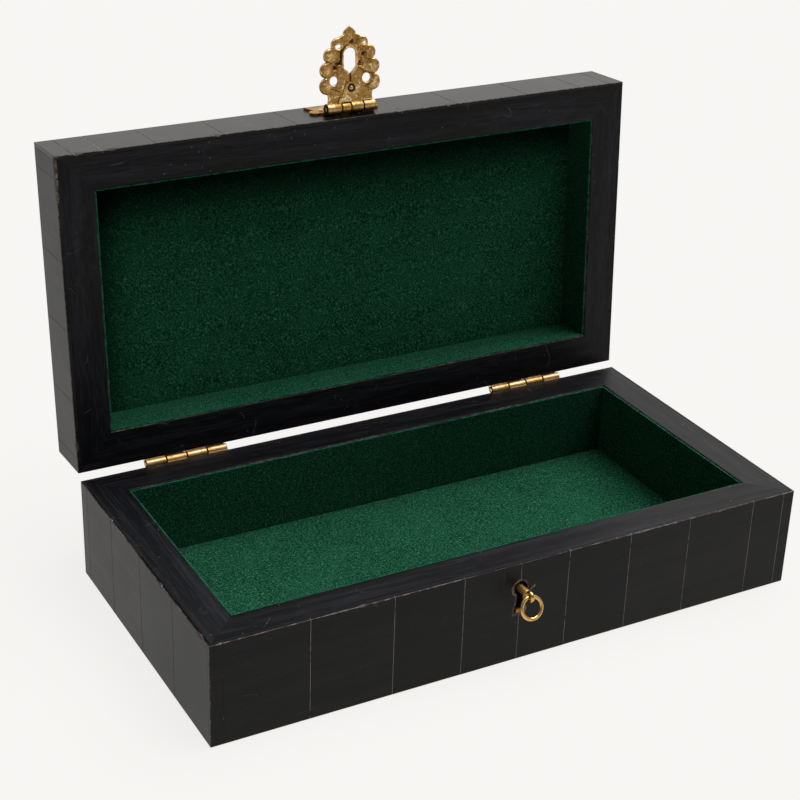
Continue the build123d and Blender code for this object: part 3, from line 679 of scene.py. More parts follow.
# Rows of plates: (side of the box, joints, axis it runs along, which side of the axis, body)
rows = (
    ("base_front", plateRows["baseFront"], 0, -1, "base"),
    ("base_back", plateRows["baseBack"], 0, 1, "base"),
    ("base_left", plateRows["baseSide"], 1, -1, "base"),
    ("base_right", plateRows["baseSide"], 1, 1, "base"),
    ("lid_front", plateRows["lidFront"], 0, -1, "lid"),
    ("lid_back", plateRows["lidBack"], 0, 1, "lid"),
    ("lid_left", plateRows["lidSide"], 1, -1, "lid"),
    ("lid_right", plateRows["lidSide"], 1, 1, "lid"),
)

# Keyhole: a round head on a slot that widens to its foot, its rim worn pale and ragged

keyhole = {
    "head": 2.95 * mm,
    "slot": 2.7 * mm,
    "long": 10.6 * mm,
    "footHalf": 2.2 * mm,
    "flareFrom": 4.9 * mm,  # down from the head's centre
    "flareTo": 9.7 * mm,
    "ragged": 0.22 * mm,
    "sunk": 0.12 * mm,  # how far its rim is rubbed in
    "rimWidth": 0.28,  # how much of the rim is worn pale, against an arris
    "scratch": (3.3, -2.7, 6.1, -0.3),  # from and to, in mm from the head's centre
    "scratchWide": 0.27,
    "reach": 7.0 * mm,  # fine grid this far round the hole
    "cell": 0.20 * mm,
    "clear": 0.4 * mm,  # between the hole and the filler above and below it
}


def keyholeGap(x, z):
    # distance outside the keyhole: the nearer of a circle and a slot whose half width grows to the foot
    u, v = x - keyX, z - keyZ
    half = keyhole["slot"] / 2
    half = half + (keyhole["footHalf"] - half) * softStep(-v, keyhole["flareFrom"], keyhole["flareTo"])
    slot = np.maximum(np.abs(u) - half, np.maximum(v, -v - keyhole["long"]))
    rough = planeNoise(u, v, 0.8 * mm, 31) - 0.5
    return np.minimum(np.hypot(u, v) - keyhole["head"], slot) - rough * keyhole["ragged"]


def segmentGap(a, b, u0, v0, u1, v1):
    # distance to the line from one point to another
    t = np.clip(((a - u0) * (u1 - u0) + (b - v0) * (v1 - v0)) / ((u1 - u0) ** 2 + (v1 - v0) ** 2), 0, 1)
    return np.hypot(a - u0 - t * (u1 - u0), b - v0 - t * (v1 - v0))


def wallBetween(back, quads):
    # quads that close the gap between the border of one sheet and that of its copy, numbered from back
    edges = np.concatenate([quads[:, [0, 1]], quads[:, [1, 2]], quads[:, [2, 3]], quads[:, [3, 0]]])
    edges = edges[edges[:, 0] != edges[:, 1]]
    keys = np.sort(edges, axis=1)
    _, edgeOf, counts = np.unique(keys, axis=0, return_inverse=True, return_counts=True)
    border = edges[counts[edgeOf.ravel()] == 1]
    return np.stack([border[:, 1], border[:, 0], border[:, 0] + back, border[:, 1] + back], 1)


def twoSheets(front, back, quads, **values):
    # a plate from two sheets with the same grid, and the wall round their borders
    count = len(front)
    faces = np.vstack([quads, quads[:, ::-1] + count, wallBetween(count, quads)])
    return Shape(np.vstack([front, back]), faces, **{k: np.concatenate(v) for k, v in values.items()})


def slideOnto(points, gap):
    # moves points along the slope of a distance until it is zero, in three steps
    a, b = points[:, 0].copy(), points[:, 1].copy()
    step = 0.02 * mm
    for _ in range(3):
        d = gap(a, b)
        ga = (gap(a + step, b) - gap(a - step, b)) / (2 * step)
        gb = (gap(a, b + step) - gap(a, b - step)) / (2 * step)
        size = np.maximum(ga**2 + gb**2, 0.2)
        a, b = a - d * ga / size, b - d * gb / size
    return np.stack([a, b], 1)


def piercedSheet(us, vs, gap, limit):
    # a grid sheet with the cells inside a hole left out and the hole's border slid on to its outline
    u, v = np.meshgrid(us, vs, indexing="ij")
    flat = np.stack([u.ravel(), v.ravel()], 1)
    quads = gridQuads(len(us), len(vs))
    centre = flat[quads].mean(1)
    keptQuads = gap(centre[:, 0], centre[:, 1]) > 0
    dropped = np.unique(quads[~keptQuads])
    quads = quads[keptQuads]
    used = np.unique(quads)
    edgeOnes = np.intersect1d(used, dropped)
    if len(edgeOnes):
        before = flat[edgeOnes]
        after = slideOnto(before, gap)
        far = np.linalg.norm(after - before, axis=1) > limit
        after[far] = before[far]
        flat[edgeOnes] = after
    number = np.full(len(flat), -1)
    number[used] = np.arange(len(used))
    return flat[used], number[quads]


def fineLines(low, high, first, last):
    # places along an edge, as fine as the keyhole needs from first to last
    coarse = low + edgeLines(high - low, plateRows["radius"], plateRows["step"])
    coarse = coarse[(coarse < first - 0.02 * mm) | (coarse > last + 0.02 * mm)]
    fine = np.linspace(first, last, int(round((last - first) / keyhole["cell"])) + 1)
    return np.sort(np.concatenate([coarse, fine]))


def keyholePlate(low, high, tone):
    radius, reach, halfLong = plateRows["radius"], keyhole["reach"], keyhole["long"] / 2
    middleZ = keyZ - halfLong
    linesX = fineLines(low[0], high[0], max(low[0] + radius * 1.5, keyX - reach),
                       min(high[0] - radius * 1.5, keyX + reach))
    linesZ = fineLines(low[2], high[2], max(low[2] + 1.5 * mm, middleZ - (reach + halfLong)),
                       min(high[2], middleZ + (reach + halfLong)))
    flat, quads = piercedSheet(linesX, linesZ, keyholeGap, 0.35 * mm)
    x, z = flat[:, 0], flat[:, 1]
    front = np.stack([x, np.full(len(flat), low[1]), z], 1)
    inner = np.clip(front, np.array(low) + radius, np.array(high) - radius)
    away = front - inner
    front = inner + away / np.maximum(np.linalg.norm(away, axis=1, keepdims=True), 1e-12) * radius
    edge, nick = outerWear(front, *outerCorner["base"])
    hole = np.maximum(keyholeGap(x, z) / mm, 0) * keyhole["rimWidth"]
    scratch = segmentGap((x - keyX) / mm, (z - keyZ) / mm, *keyhole["scratch"])
    mark = np.maximum(scratch - keyhole["scratchWide"], 0) + 0.08
    edge = np.minimum(edge, np.minimum(hole, mark))
    sunk = nick * plateRows["nickDepth"]
    front[:, 1] += sunk
    front[:, 2] -= sunk * (front[:, 2] > baseTop - plateRows["wearReach"])
    front[:, 1] += keyhole["sunk"] * (1 - softStep(hole, 0.0, 0.35))
    back = np.stack([x, np.full(len(flat), high[1]), z], 1)
    none = np.zeros(len(flat))
    return twoSheets(front, back, quads, edge=(edge, none + 2.5), nick=(nick, none),
                     tone=(none + tone, none + tone))


for name, marks, axis, side, body in rows:
    outer = outerCorner[body]
    z0, z1 = outer[0][2], outer[1][2]
    pierced = (4, 5) if name == "base_front" else ()
    shapes, fillers = plateRow(name + "_horn", marks, axis, side, outer, rng, pierced)
    for i in pierced:
        a, b = rowSpans(-halfX, marks, halfX)[i]
        shapes.append(keyholePlate((a, -halfY, z0), (b, -woodY, z1), rng.uniform(-0.3, 0.3)))
    if pierced:
        # the filler between the two pierced plates stops clear of the keyhole
        m, sunk = marks[4] * mm, plateRows["fillerDepth"]
        fillers = [f for f in fillers if abs(f.points[:, 0].mean() - m) > 1 * mm]
        for za, zb in ((z0 + sunk, keyZ - keyhole["long"] - keyhole["clear"]),
                       (keyZ + keyhole["head"] + keyhole["clear"], z1 - sunk)):
            fillers.append(seamBlock((m - fillerHalf, -halfY + sunk, za),
                                     (m + fillerHalf, -woodY - plateRows["fillerBack"], zb), 1.0))
    look = sideHornLit if axis == 1 else (lidPlateHorn if name == "lid_front" else plateHorn)
    addPiece(name + "_horn", joined(shapes).withLid(body), look, body, "horn_plate", (name + "_plates",))
    addPiece(name + "_horn_filler", joined(fillers).withLid(body), seamLook, body, "horn_plate")

topShapes, topFillers = [], []
topLow = lidTop - casing["horn"]
for a, b in rowSpans(-woodX, plateRows["lidTop"], woodX):
    for c, d in rowSpans(-woodY, plateRows["lidSplit"], woodY):
        topShapes.append(wornPlate((a, c, topLow), (b, d, lidTop), outerCorner["lid"], rng.uniform(-0.5, 0.5),
                                   (0, 0, 1), plateRows["topStep"]))
fillLow, fillHigh = topLow + plateRows["fillerBack"], lidTop - plateRows["fillerDepth"]
for m in [m * mm for m in plateRows["lidTop"]] + [-woodX, woodX]:
    topFillers.append(seamBlock((m - fillerHalf, -woodY, fillLow), (m + fillerHalf, woodY, fillHigh)))
for m in [m * mm for m in plateRows["lidSplit"]] + [-woodY, woodY]:
    topFillers.append(seamBlock((-woodX, m - fillerHalf, fillLow), (woodX, m + fillerHalf, fillHigh)))
topHorn, topFiller = joined(topShapes).withLid("lid"), joined(topFillers).withLid("lid")
addPiece("lid_top_horn", topHorn, lidPlateHorn, "lid", "horn_plate", ("lid_top_plates",))
addPiece("lid_top_horn_filler", topFiller, seamLook, "lid", "horn_plate")
print("horn plates ready")

# Rims: a section with rounded corners carried from mitre to mitre

rimStrips = {
    "innerRound": 0.35 * mm,
    "outerRound": 0.06 * mm,
    "mitreGap": 0.02 * mm,
    "waves": 0.05 * mm,
    "step": 1.2 * mm,
}


def rimStrip(outerA, outerB, innerA, innerB, glued, shown):
    # section points are (way in from the outer edge, height from the glued face)
    wide, high = casing["wall"], casing["rim"]
    ro, ri = rimStrips["outerRound"], rimStrips["innerRound"]
    arc = np.linspace(0, math.pi / 2, 5)
    outerArc = np.stack([ro - ro * np.cos(arc), high - ro + ro * np.sin(arc)], 1)
    innerArc = np.stack([wide - ri + ri * np.sin(arc), high - ri + ri * np.cos(arc)], 1)
    across = np.linspace(ro, wide - ri, 14)[1:-1]
    top = np.stack([across, np.full(len(across), high)], 1)
    section = np.vstack([[0, 0], outerArc, top, innerArc, [wide, 0]])
    long = math.dist(outerA, outerB)
    count = int(long / rimStrips["step"])
    gap = rimStrips["mitreGap"] / long
    shares = gap + np.linspace(0, 1, count) * (1 - 2 * gap)
    t = section[:, 0] / wide
    outerA, outerB, innerA, innerB = (np.array(v, float) for v in (outerA, outerB, innerA, innerB))
    start = outerA + (innerA - outerA) * t[:, None]
    end = outerB + (innerB - outerB) * t[:, None]
    flat = start[None] + (end - start)[None] * shares[:, None, None]
    size = flat.shape[:2]
    z = glued + (shown - glued) * section[:, 1] / high
    points = np.concatenate([flat, np.broadcast_to(z[None, :, None], size + (1,))], -1).reshape(-1, 3)
    # the shown face waves a little, calm near its edges
    wave = latticeNoise(points * np.array([0.5, 0.5, 1.0]), 6 * mm, 41)
    inSection = np.minimum(section[:, 0], wide - section[:, 0])
    waving = softStep(section[:, 1], high * 0.6, high) * softStep(inSection, 0.3 * mm, 3 * mm)
    toGlued = math.copysign(1, glued - shown)
    points[:, 2] += toGlued * rimStrips["waves"] * wave * np.broadcast_to(waving[None], size).ravel()
    columns = len(section)
    fan = np.arange(1, columns - 1)
    capA = np.stack([np.zeros_like(fan), fan, fan + 1, fan + 1], 1)
    capB = capA + (count - 1) * columns
    quads = np.vstack([gridQuads(count, columns, closedColumns=True), capA, capB[:, ::-1][:, [1, 2, 3, 0]]])
    inner = ((wide - section[:, 0]) / mm)[None] * 0.9 + 0.14
    fromMitre = np.minimum(shares, 1 - shares)[:, None] * long / mm * 2.2 + 0.34
    return outward(Shape(points, quads, edge=np.minimum(inner, fromMitre).ravel(), nick=0.0, tone=0.0))


def mitres(x, y):
    # corners of a rectangle, from the front left round by the right
    return ((-x, -y), (x, -y), (x, y), (-x, y))


sidesOf = {"front": (0, 1), "right": (1, 2), "back": (2, 3), "left": (3, 0)}
outside, inside = mitres(woodX, woodY), mitres(roomX, roomY)
rimFaces = (("base", baseTop - casing["rim"], baseTop), ("lid", lidLow + casing["rim"], lidLow))
for body, glued, shown in rimFaces:
    for sideName, (i, k) in sidesOf.items():
        strip = rimStrip(outside[i], outside[k], inside[i], inside[k], glued, shown).withLid(body)
        look = rimAlongX if sideName in ("front", "back") else (rimAcross if body == "base" else rimUpright)
        addPiece(f"{body}_{sideName}_rim_strip", strip, look, body, "horn_rim", (f"{body}_{sideName}_rim",))
print("rims ready")

# Baize: felted cloth glued in, with fibres standing off it

baizeLook = {
    "deep": rgb(0.0006, 0.0160, 0.0075),
    # the painted shadow's colour, nearly black
    "gloom": rgb(0.0002, 0.0010, 0.0006),
    "fair": rgb(0.0180, 0.1200, 0.0630),
    "pale": rgb(0.098, 0.285, 0.178),
    "fibre": rgb(0.028, 0.140, 0.080),
    "sheen": rgb(0.35, 0.75, 0.55),
    "bump": (0.9, 0.4 * mm),  # strength and depth
}
baize, place = newMaterial("baize_look", Roughness=0.92, IOR=1.3, Specular_IOR_Level=0.06, Sheen_Weight=0.07,
                           Sheen_Roughness=0.45, Sheen_Tint=baizeLook["sheen"])
tufts = noise(place, grains["clothTufts"], 2.0, 0.6)
mottle = noise(place, grains["clothClumps"], 4.0, 0.72) * 0.65 + tufts * 0.35
drift = noise(place, grains["clothDrift"]).ramp(0.35, 0.75, 0.0, 0.22)
frays = noise(place, grains["clothFray"], 3.0, 0.6).ramp(0.40, 0.62, 0.1, 0.9)
baizeColour = layered(
    baizeLook["deep"],
    (mottle.ramp(0.42, 0.585), baizeLook["fair"]),
    (drift, baizeLook["fair"]),
    (mottle.ramp(0.565, 0.64), baizeLook["pale"]),
    # painted shade, then painted shadow, from the values kept at the cloth's points
    (kept(place, "shade") * 0.90, baizeLook["deep"]),
    (kept(place, "gloom"), baizeLook["gloom"]),
    (kept(place, "edge").ramp(0.75, 0.15) * frays, baizeLook["fibre"]),
)
shade(baize, Base_Color=baizeColour, Normal=bump(mottle, *baizeLook["bump"]))

fibreMaterial, place = newMaterial("baize_fibre_look", Roughness=0.9, IOR=1.3, Specular_IOR_Level=0.15)
fibreTone = noise(place, grains["fibres"], 2.0).ramp(0.35, 0.65)
shade(fibreMaterial, Base_Color=blend(fibreTone, baizeLook["fair"], baizeLook["fibre"]))

linings = {
    "round": 0.30 * mm,
    "step": 1.5 * mm,
    "lumps": 0.10 * mm,
    "fray": 0.16 * mm,
    "edgeFibres": 3.4,  # per mm of free edge
    "faceFibres": 0.16,  # per square mm
    "fibreLong": (0.35 * mm, 1.05 * mm),
    "fibreThick": 0.035 * mm,
    # bands of painted shade and painted shadow on the lid's panel, darkest along the edge: (from, to, how
    # dark)
    "dimFront": (-2 * mm, 34 * mm, 0.85),
    "dimLeft": (-2 * mm, 20 * mm, 0.65),
    "gloomFront": (4 * mm, 25 * mm, 0.84),
    "gloomLeft": (1 * mm, 18 * mm, 0.55),
    # painted shade on the walls, by a share
    "dimWalls": {"lid_right": 0.45, "lid_left": 0.3, "lid_front": 0.3, "base_left": 0.2},
}


def baizePanel(low, high, face, freeEdge):
    # face is (axis, sign) of the side that shows; freeEdge is the height of the cut edge, or None
    shape = roundedBlock(low, high, linings["round"], linings["step"])
    p = shape.points
    axis, sign = face
    lump = latticeNoise(p, 3.5 * mm, 51) * 0.6 + latticeNoise(p, 1.7 * mm, 52) * 0.4
    onFace = softStep((p[:, axis] - (low[axis] + high[axis]) / 2) * sign, 0.1 * mm, 0.4 * mm)
    p[:, axis] -= sign * linings["lumps"] * lump * onFace
    if freeEdge is None:
        return Shape(p, shape.quads, edge=5.0)
    towards = 1 if freeEdge > (low[2] + high[2]) / 2 else -1
    near = 1 - softStep(np.abs(p[:, 2] - freeEdge), 0.1 * mm, 1.5 * mm)
    p[:, 2] -= towards * near * linings["fray"] * latticeNoise(p, 1.6 * mm, 53)
    return Shape(p, shape.quads, edge=np.abs(p[:, 2] - freeEdge) / mm)


def fibres(roots, directions, lengths, thick, generator):
    # three-sided spikes that bend over: a root, a middle and a tip
    count = len(roots)
    directions = directions / np.linalg.norm(directions, axis=1, keepdims=True)
    side = np.cross(directions, generator.normal(size=(count, 3)))
    side /= np.linalg.norm(side, axis=1, keepdims=True)
    other = np.cross(directions, side)
    lengths = lengths[:, None]
    sag = generator.normal(size=(count, 3)) * lengths * 0.35
    middle = roots + directions * lengths * 0.55
    tip = roots + directions * lengths + sag
    points = np.zeros((count, 7, 3))
    for k in range(3):
        angle = 2 * math.pi * k / 3
        around = side * math.cos(angle) + other * math.sin(angle)
        points[:, k] = roots + around * thick
        points[:, 3 + k] = middle + around * thick * 0.8
    points[:, 6] = tip
    cell = []
    for k in range(3):
        n = (k + 1) % 3
        cell.append([k, n, 3 + n, 3 + k])
        cell.append([3 + k, 3 + n, 6, 6])
    cell.append([2, 1, 0, 0])
    cell = np.array(cell)
    quads = (np.arange(count)[:, None, None] * 7 + cell[None]).reshape(-1, 4)
    return Shape(points.reshape(-1, 3), quads)


def fuzzOn(low, high, face, freeEdge, generator):
    # fibres scattered over the side that shows and thick along the cut edge
    axis, sign = face
    a, b = [k for k in range(3) if k != axis]

    def scattered(many, *margins):
        # roots spread along the given axes, a margin clear of the ends
        roots = np.zeros((many, 3))
        for k, margin in margins:
            roots[:, k] = generator.uniform(low[k] + margin, high[k] - margin, many)
        return roots

    def grown(roots, lean, share):
        lengths = generator.uniform(*linings["fibreLong"], len(roots)) * share
        return fibres(roots, lean, lengths, linings["fibreThick"] / 2, generator)

    area = (high[a] - low[a]) * (high[b] - low[b]) / mm**2
    many = int(area * linings["faceFibres"])
    roots = scattered(many, (a, 0.3 * mm), (b, 0.3 * mm))
    roots[:, axis] = (high[axis] if sign > 0 else low[axis]) - sign * 0.1 * mm
    lean = generator.normal(size=(many, 3))
    lean[:, axis] = sign * np.abs(lean[:, axis]) * 0.25 + sign * 0.12
    made = [grown(roots, lean, 0.8)]
    if freeEdge is not None:
        along = a if a != 2 else b
        many = int((high[along] - low[along]) / mm * linings["edgeFibres"])
        roots = scattered(many, (along, 0.2 * mm), (axis, 0.1 * mm))
        towards = 1 if freeEdge > (low[2] + high[2]) / 2 else -1
        roots[:, 2] = freeEdge - towards * generator.uniform(0.1 * mm, 0.4 * mm, many)
        lean = generator.normal(size=(many, 3)) * 0.8
        lean[:, 2] = towards * np.abs(lean[:, 2]) * 0.35
        lean[:, axis] += sign * 0.5
        made.append(grown(roots, lean, 0.6))
    return joined(made)


thick = casing["baize"]
floorZ = baseTop - casing["baseDeep"]
ceilingZ = lidLow + casing["lidDeep"]


def liningPanels(panelLow, panelHigh, wallLow, wallHigh, up, freeEdge):
    # (side, low corner, high corner, (axis, sign) of the face that shows, height of the free edge)
    x, y = roomX, roomY
    return (
        ("panel", (-x, -y, panelLow), (x, y, panelHigh), (2, up), None),
        ("front", (-x, -y, wallLow), (x, -y + thick, wallHigh), (1, 1), freeEdge),
        ("back", (-x, y - thick, wallLow), (x, y, wallHigh), (1, -1), freeEdge),
        ("left", (-x, -y + thick, wallLow), (-x + thick, y - thick, wallHigh), (0, 1), freeEdge),
        ("right", (x - thick, -y + thick, wallLow), (x, y - thick, wallHigh), (0, -1), freeEdge),
    )


def band(distance, start, end, dark):
    # how dark at a distance from an edge: full up to the start, none beyond the end
    return dark * (1 - softStep(distance, start, end))


def paintedShading(points, name):
    # painted shade: how far the cloth is darkened along the panel's front and left edges, across the base's
    # back wall growing towards the right, and on the walls by a share
    x, y = points[:, 0], points[:, 1]
    if name == "lid_panel":
        return np.clip(band(y + roomY, *linings["dimFront"]) + band(x + roomX, *linings["dimLeft"]), 0, 0.95)
    if name == "base_back":
        return 0.15 + 0.40 * softStep(x, -60 * mm, 80 * mm)
    return np.full(len(x), linings["dimWalls"].get(name, 0.0))


fuzzRng = np.random.default_rng(19)
baseEdge, lidEdge = baseTop - casing["baizeDrop"], lidLow + casing["baizeDrop"]
liningSets = (
    ("base", "floor", liningPanels(floorZ - thick, floorZ, floorZ, baseEdge, 1, baseEdge)),
    ("lid", "panel", liningPanels(ceilingZ, ceilingZ + thick, lidEdge, ceilingZ, -1, lidEdge)),
)
for body, panelName, panels in liningSets:
    for label, low, high, face, freeEdge in panels:
        name = f"{body}_{panelName if label == 'panel' else label}"
        cloth = baizePanel(low, high, face, freeEdge)
        # painted shade on the cloth
        cloth.values["shade"] = paintedShading(cloth.points, name)
        if name == "lid_panel":
            # painted shadow: the nearly black band close along the front edge, and a fainter one along the
            # left edge
            gloom = band(cloth.points[:, 1] + roomY, *linings["gloomFront"])
            gloom = gloom + band(cloth.points[:, 0] + roomX, *linings["gloomLeft"])
            cloth.values["gloom"] = np.clip(gloom, 0, 0.90)
        fuzz = fuzzOn(low, high, face, freeEdge, fuzzRng).withLid(body)
        nodeName = f"{name}_baize"
        clothPiece = addPiece(f"{name}_cloth", cloth.withLid(body), baize, body, "green_baize", (nodeName,))
        fuzzPiece = addPiece(f"{name}_fuzz", fuzz, fibreMaterial, body, "green_baize", flatAngle=0)
        size = sorted((high[k] - low[k] for k in range(3)), reverse=True)
print("baize ready")

# Brass

brassLook = {
    "bright": rgb(0.74, 0.430, 0.120),
    "warm": rgb(0.42, 0.215, 0.056),
    "brown": rgb(0.100, 0.048, 0.015),
    "black": rgb(0.014, 0.009, 0.006),
    "bumpDepth": 0.06 * mm,
    # colours of the bright places: rubbed by wear, and on the hasp also painted highlight
    "castShine": rgb(0.84, 0.63, 0.34),
    "drawnShine": rgb(0.76, 0.57, 0.34),
    "keyShine": rgb(0.74, 0.455, 0.155),
    "stubShine": rgb(0.30, 0.16, 0.055),
}


def brassMaterial(name, shine, rough, cloud, grain, warmth):
    material, place = newMaterial(name, Metallic=1.0)
    hollow = kept(place, "hollow")
    stain = useGroup(tarnish, place, Hollow=hollow, Cloud=cloud)
    tones = noise(place, grains["brassTones"], 4.0, 0.6)
    toned = blend(tones.ramp(0.30, 0.70, warmth, warmth + 0.35), brassLook["bright"], brassLook["warm"])
    colour = layered(
        brassLook[shine],
        ((hollow + tones * 0.35).ramp(0.16, 0.38), toned),
        (stain["Mask"], brassLook["brown"]),
        # nearly black where the hollow value is high: patina in deep hollows, and painted shade where the
        # key's shank is in the hole
        (hollow.ramp(0.62, 1.0), brassLook["black"]),
        (stain["Spot"] * 0.6, brassLook["brown"]),
    )
    roughness = (stain["Mask"] * 0.32 + rough + tones * 0.10).clamped()
    relief = bump(stain["Height"] + tones * 1.5, grain, brassLook["bumpDepth"])
    shade(material, Base_Color=colour, Roughness=roughness, Normal=relief)
    return material


castBrass = brassMaterial("cast_brass_look", "castShine", rough=0.30, cloud=0.62, grain=0.75, warmth=0.25)
drawnBrass = brassMaterial("drawn_brass_look", "drawnShine", rough=0.37, cloud=0.35, grain=0.35, warmth=0.10)
keyBrass = brassMaterial("key_brass_look", "keyShine", rough=0.17, cloud=0.10, grain=0.12, warmth=0.05)
shankBrass = brassMaterial("key_shank_look", "keyShine", rough=0.45, cloud=0.10, grain=0.12, warmth=0.05)
lockBrass = brassMaterial("lock_brass_look", "castShine", rough=0.30, cloud=0.45, grain=0.40, warmth=0.30)
stubBrass = brassMaterial("stub_brass_look", "stubShine", rough=0.48, cloud=1.0, grain=0.80, warmth=0.80)

sharpFrom = 35  # degrees between faces that stay sharp, or get a bevel, on the parts copied from the CAD


def roundedCopy(nodeName, name, width, material, body, slot, change=None, hollow=0.0):
    # a copy of a CAD node, its points merged, its edges rounded by a live Bevel modifier
    mesh = frame["nodes"][nodeName].data.copy()
    work = bmesh.new()
    work.from_mesh(mesh)
    bmesh.ops.remove_doubles(work, verts=work.verts, dist=0.002 * mm)
    bmesh.ops.dissolve_limit(work, angle_limit=math.radians(1.0), verts=work.verts, edges=work.edges)
    work.to_mesh(mesh)
    work.free()
    many = len(mesh.vertices)
    if change:
        places = np.zeros(many * 3, np.float32)
        mesh.vertices.foreach_get("co", places)
        places = change(places.reshape(-1, 3).astype(float)).astype(np.float32)
        mesh.vertices.foreach_set("co", places.ravel())
        mesh.update()
    mesh.attributes.new("hollow", "FLOAT", "POINT").data.foreach_set("value", np.full(many, hollow))
    mesh.name = name
    mesh.materials.clear()
    piece = placed(name, mesh, material, body, slot, (nodeName,), sharpFrom)
    bevel = piece.modifiers.new("rounded edges", "BEVEL")
    bevel.width, bevel.segments = width, 2
    bevel.limit_method, bevel.angle_limit = "ANGLE", math.radians(sharpFrom)
    bevel.harden_normals = True
    bevel.use_clamp_overlap = True
    return piece


# Hinges: turned knuckles with rounded ends on a flat leaf

hinges = {
    "radius": 1.65 * mm,
    "proud": 0.012 * mm,  # of the leaf's own knuckles
    "endRound": 0.30 * mm,
    "dents": 0.045 * mm,
    "gap": 0.30 * mm,
    "knuckles": 4,
    "length": 35.0 * mm,
    "inset": 45.0 * mm,
    "bore": 0.83 * mm,
    "leafRound": 0.08 * mm,
}
barrelSides = 48


def barrel(x0, x1, radius, bore, endRound, dents, seed, place):
    # profile of a bored knuckle turned about X: bore, rounded mouth, outside, rounded mouth, bore
    arc = np.linspace(0, math.pi / 2, 5)
    left = np.stack([x0 + endRound - endRound * np.cos(arc), radius - endRound + endRound * np.sin(arc)], 1)
    right = np.stack([x1 - endRound + endRound * np.sin(arc), radius - endRound + endRound * np.cos(arc)], 1)
    outside = np.linspace(x0 + endRound, x1 - endRound, 14)[1:-1]
    middlePart = np.stack([outside, np.full(len(outside), radius)], 1)
    inside = np.linspace(x1, x0, 4)[1:-1]
    hole = np.stack([inside, np.full(len(inside), bore)], 1)
    profile = np.vstack([[x0, bore], left, middlePart, right, [x1, bore], hole])
    turn = np.linspace(0, 2 * math.pi, barrelSides, endpoint=False)
    points = np.zeros((len(profile), barrelSides, 3))
    points[..., 0] = profile[:, :1]
    points[..., 1] = profile[:, 1:] * np.cos(turn)
    points[..., 2] = profile[:, 1:] * np.sin(turn)
    flat = points.reshape(-1, 3)
    dent = np.abs(latticeNoise(flat, 1.7 * mm, seed) - 0.5) * 2
    outer = np.repeat(softStep(profile[:, 1], bore + 0.1 * mm, radius), barrelSides)
    size = np.maximum(np.hypot(flat[:, 1], flat[:, 2]), 1e-9)
    flat[:, 1:] *= (1 - dent * dents * outer / size)[:, None]
    # darker towards each knuckle's ends, nearly black on its end faces, and darker in the dents
    fromEnd = np.minimum(profile[:, 0] - x0, x1 - profile[:, 0])
    hollow = np.repeat(1.0 - 0.9 * softStep(fromEnd, 0.02 * mm, endRound * 0.95), barrelSides)
    hollow = np.maximum(hollow, 0.45 * softStep(dent, 0.45, 0.95))
    return outward(Shape(flat + place, gridQuads(len(profile), barrelSides, True, True), hollow=hollow))


def slimKnuckles(axisY, axisZ, radius, ends):
    # draws a leaf's own knuckles in, under the turned ones: radius to four fifths, length to 92 hundredths
    middles = np.array([(a + b) / 2 for a, b in zip(ends, ends[1:])])

    def change(points):
        y, z = points[:, 1] - axisY, points[:, 2] - axisZ
        r = np.hypot(y, z)
        on = (r < radius * 1.02) & (r > radius * 0.9)
        scale = np.where(on, 0.8, 1.0)
        nearest = middles[np.abs(points[:, :1] - middles).argmin(1)]
        x = np.where(r < radius * 1.02, nearest + (points[:, 0] - nearest) * 0.92, points[:, 0])
        return np.stack([x, axisY + y * scale, axisZ + z * scale], 1)

    return change


for sideName, place in (("left", -1), ("right", 1)):
    start = place * (halfX - hinges["inset"]) - hinges["length"] / 2
    step = hinges["length"] / hinges["knuckles"]
    ends = [start + i * step for i in range(hinges["knuckles"] + 1)]
    slimmer = slimKnuckles(hingeY, hingeZ, hinges["radius"], ends)
    for body in ("base", "lid"):
        nodeName = f"{sideName}_hinge_{body}_leaf"
        roundedCopy(nodeName, nodeName + "_plate", hinges["leafRound"], drawnBrass, body, "hinge_brass",
                    slimmer)
    for i in range(hinges["knuckles"]):
        a = start + i * step + hinges["gap"] / 2
        shape = barrel(a, a + step - hinges["gap"], hinges["radius"] + hinges["proud"], hinges["bore"],
                       hinges["endRound"], hinges["dents"], 60 + i, (0, hingeY, hingeZ))
        body = "base" if i % 2 else "lid"
        addPiece(f"{sideName}_hinge_knuckle_{i + 1}", shape, drawnBrass, body, "hinge_brass")
print("hinges ready")

# Hasp: a cast plate, drawn as distances from its outline, with hollows and creases pressed in.
# All its lengths are in mm, u across and v away from its hinge.

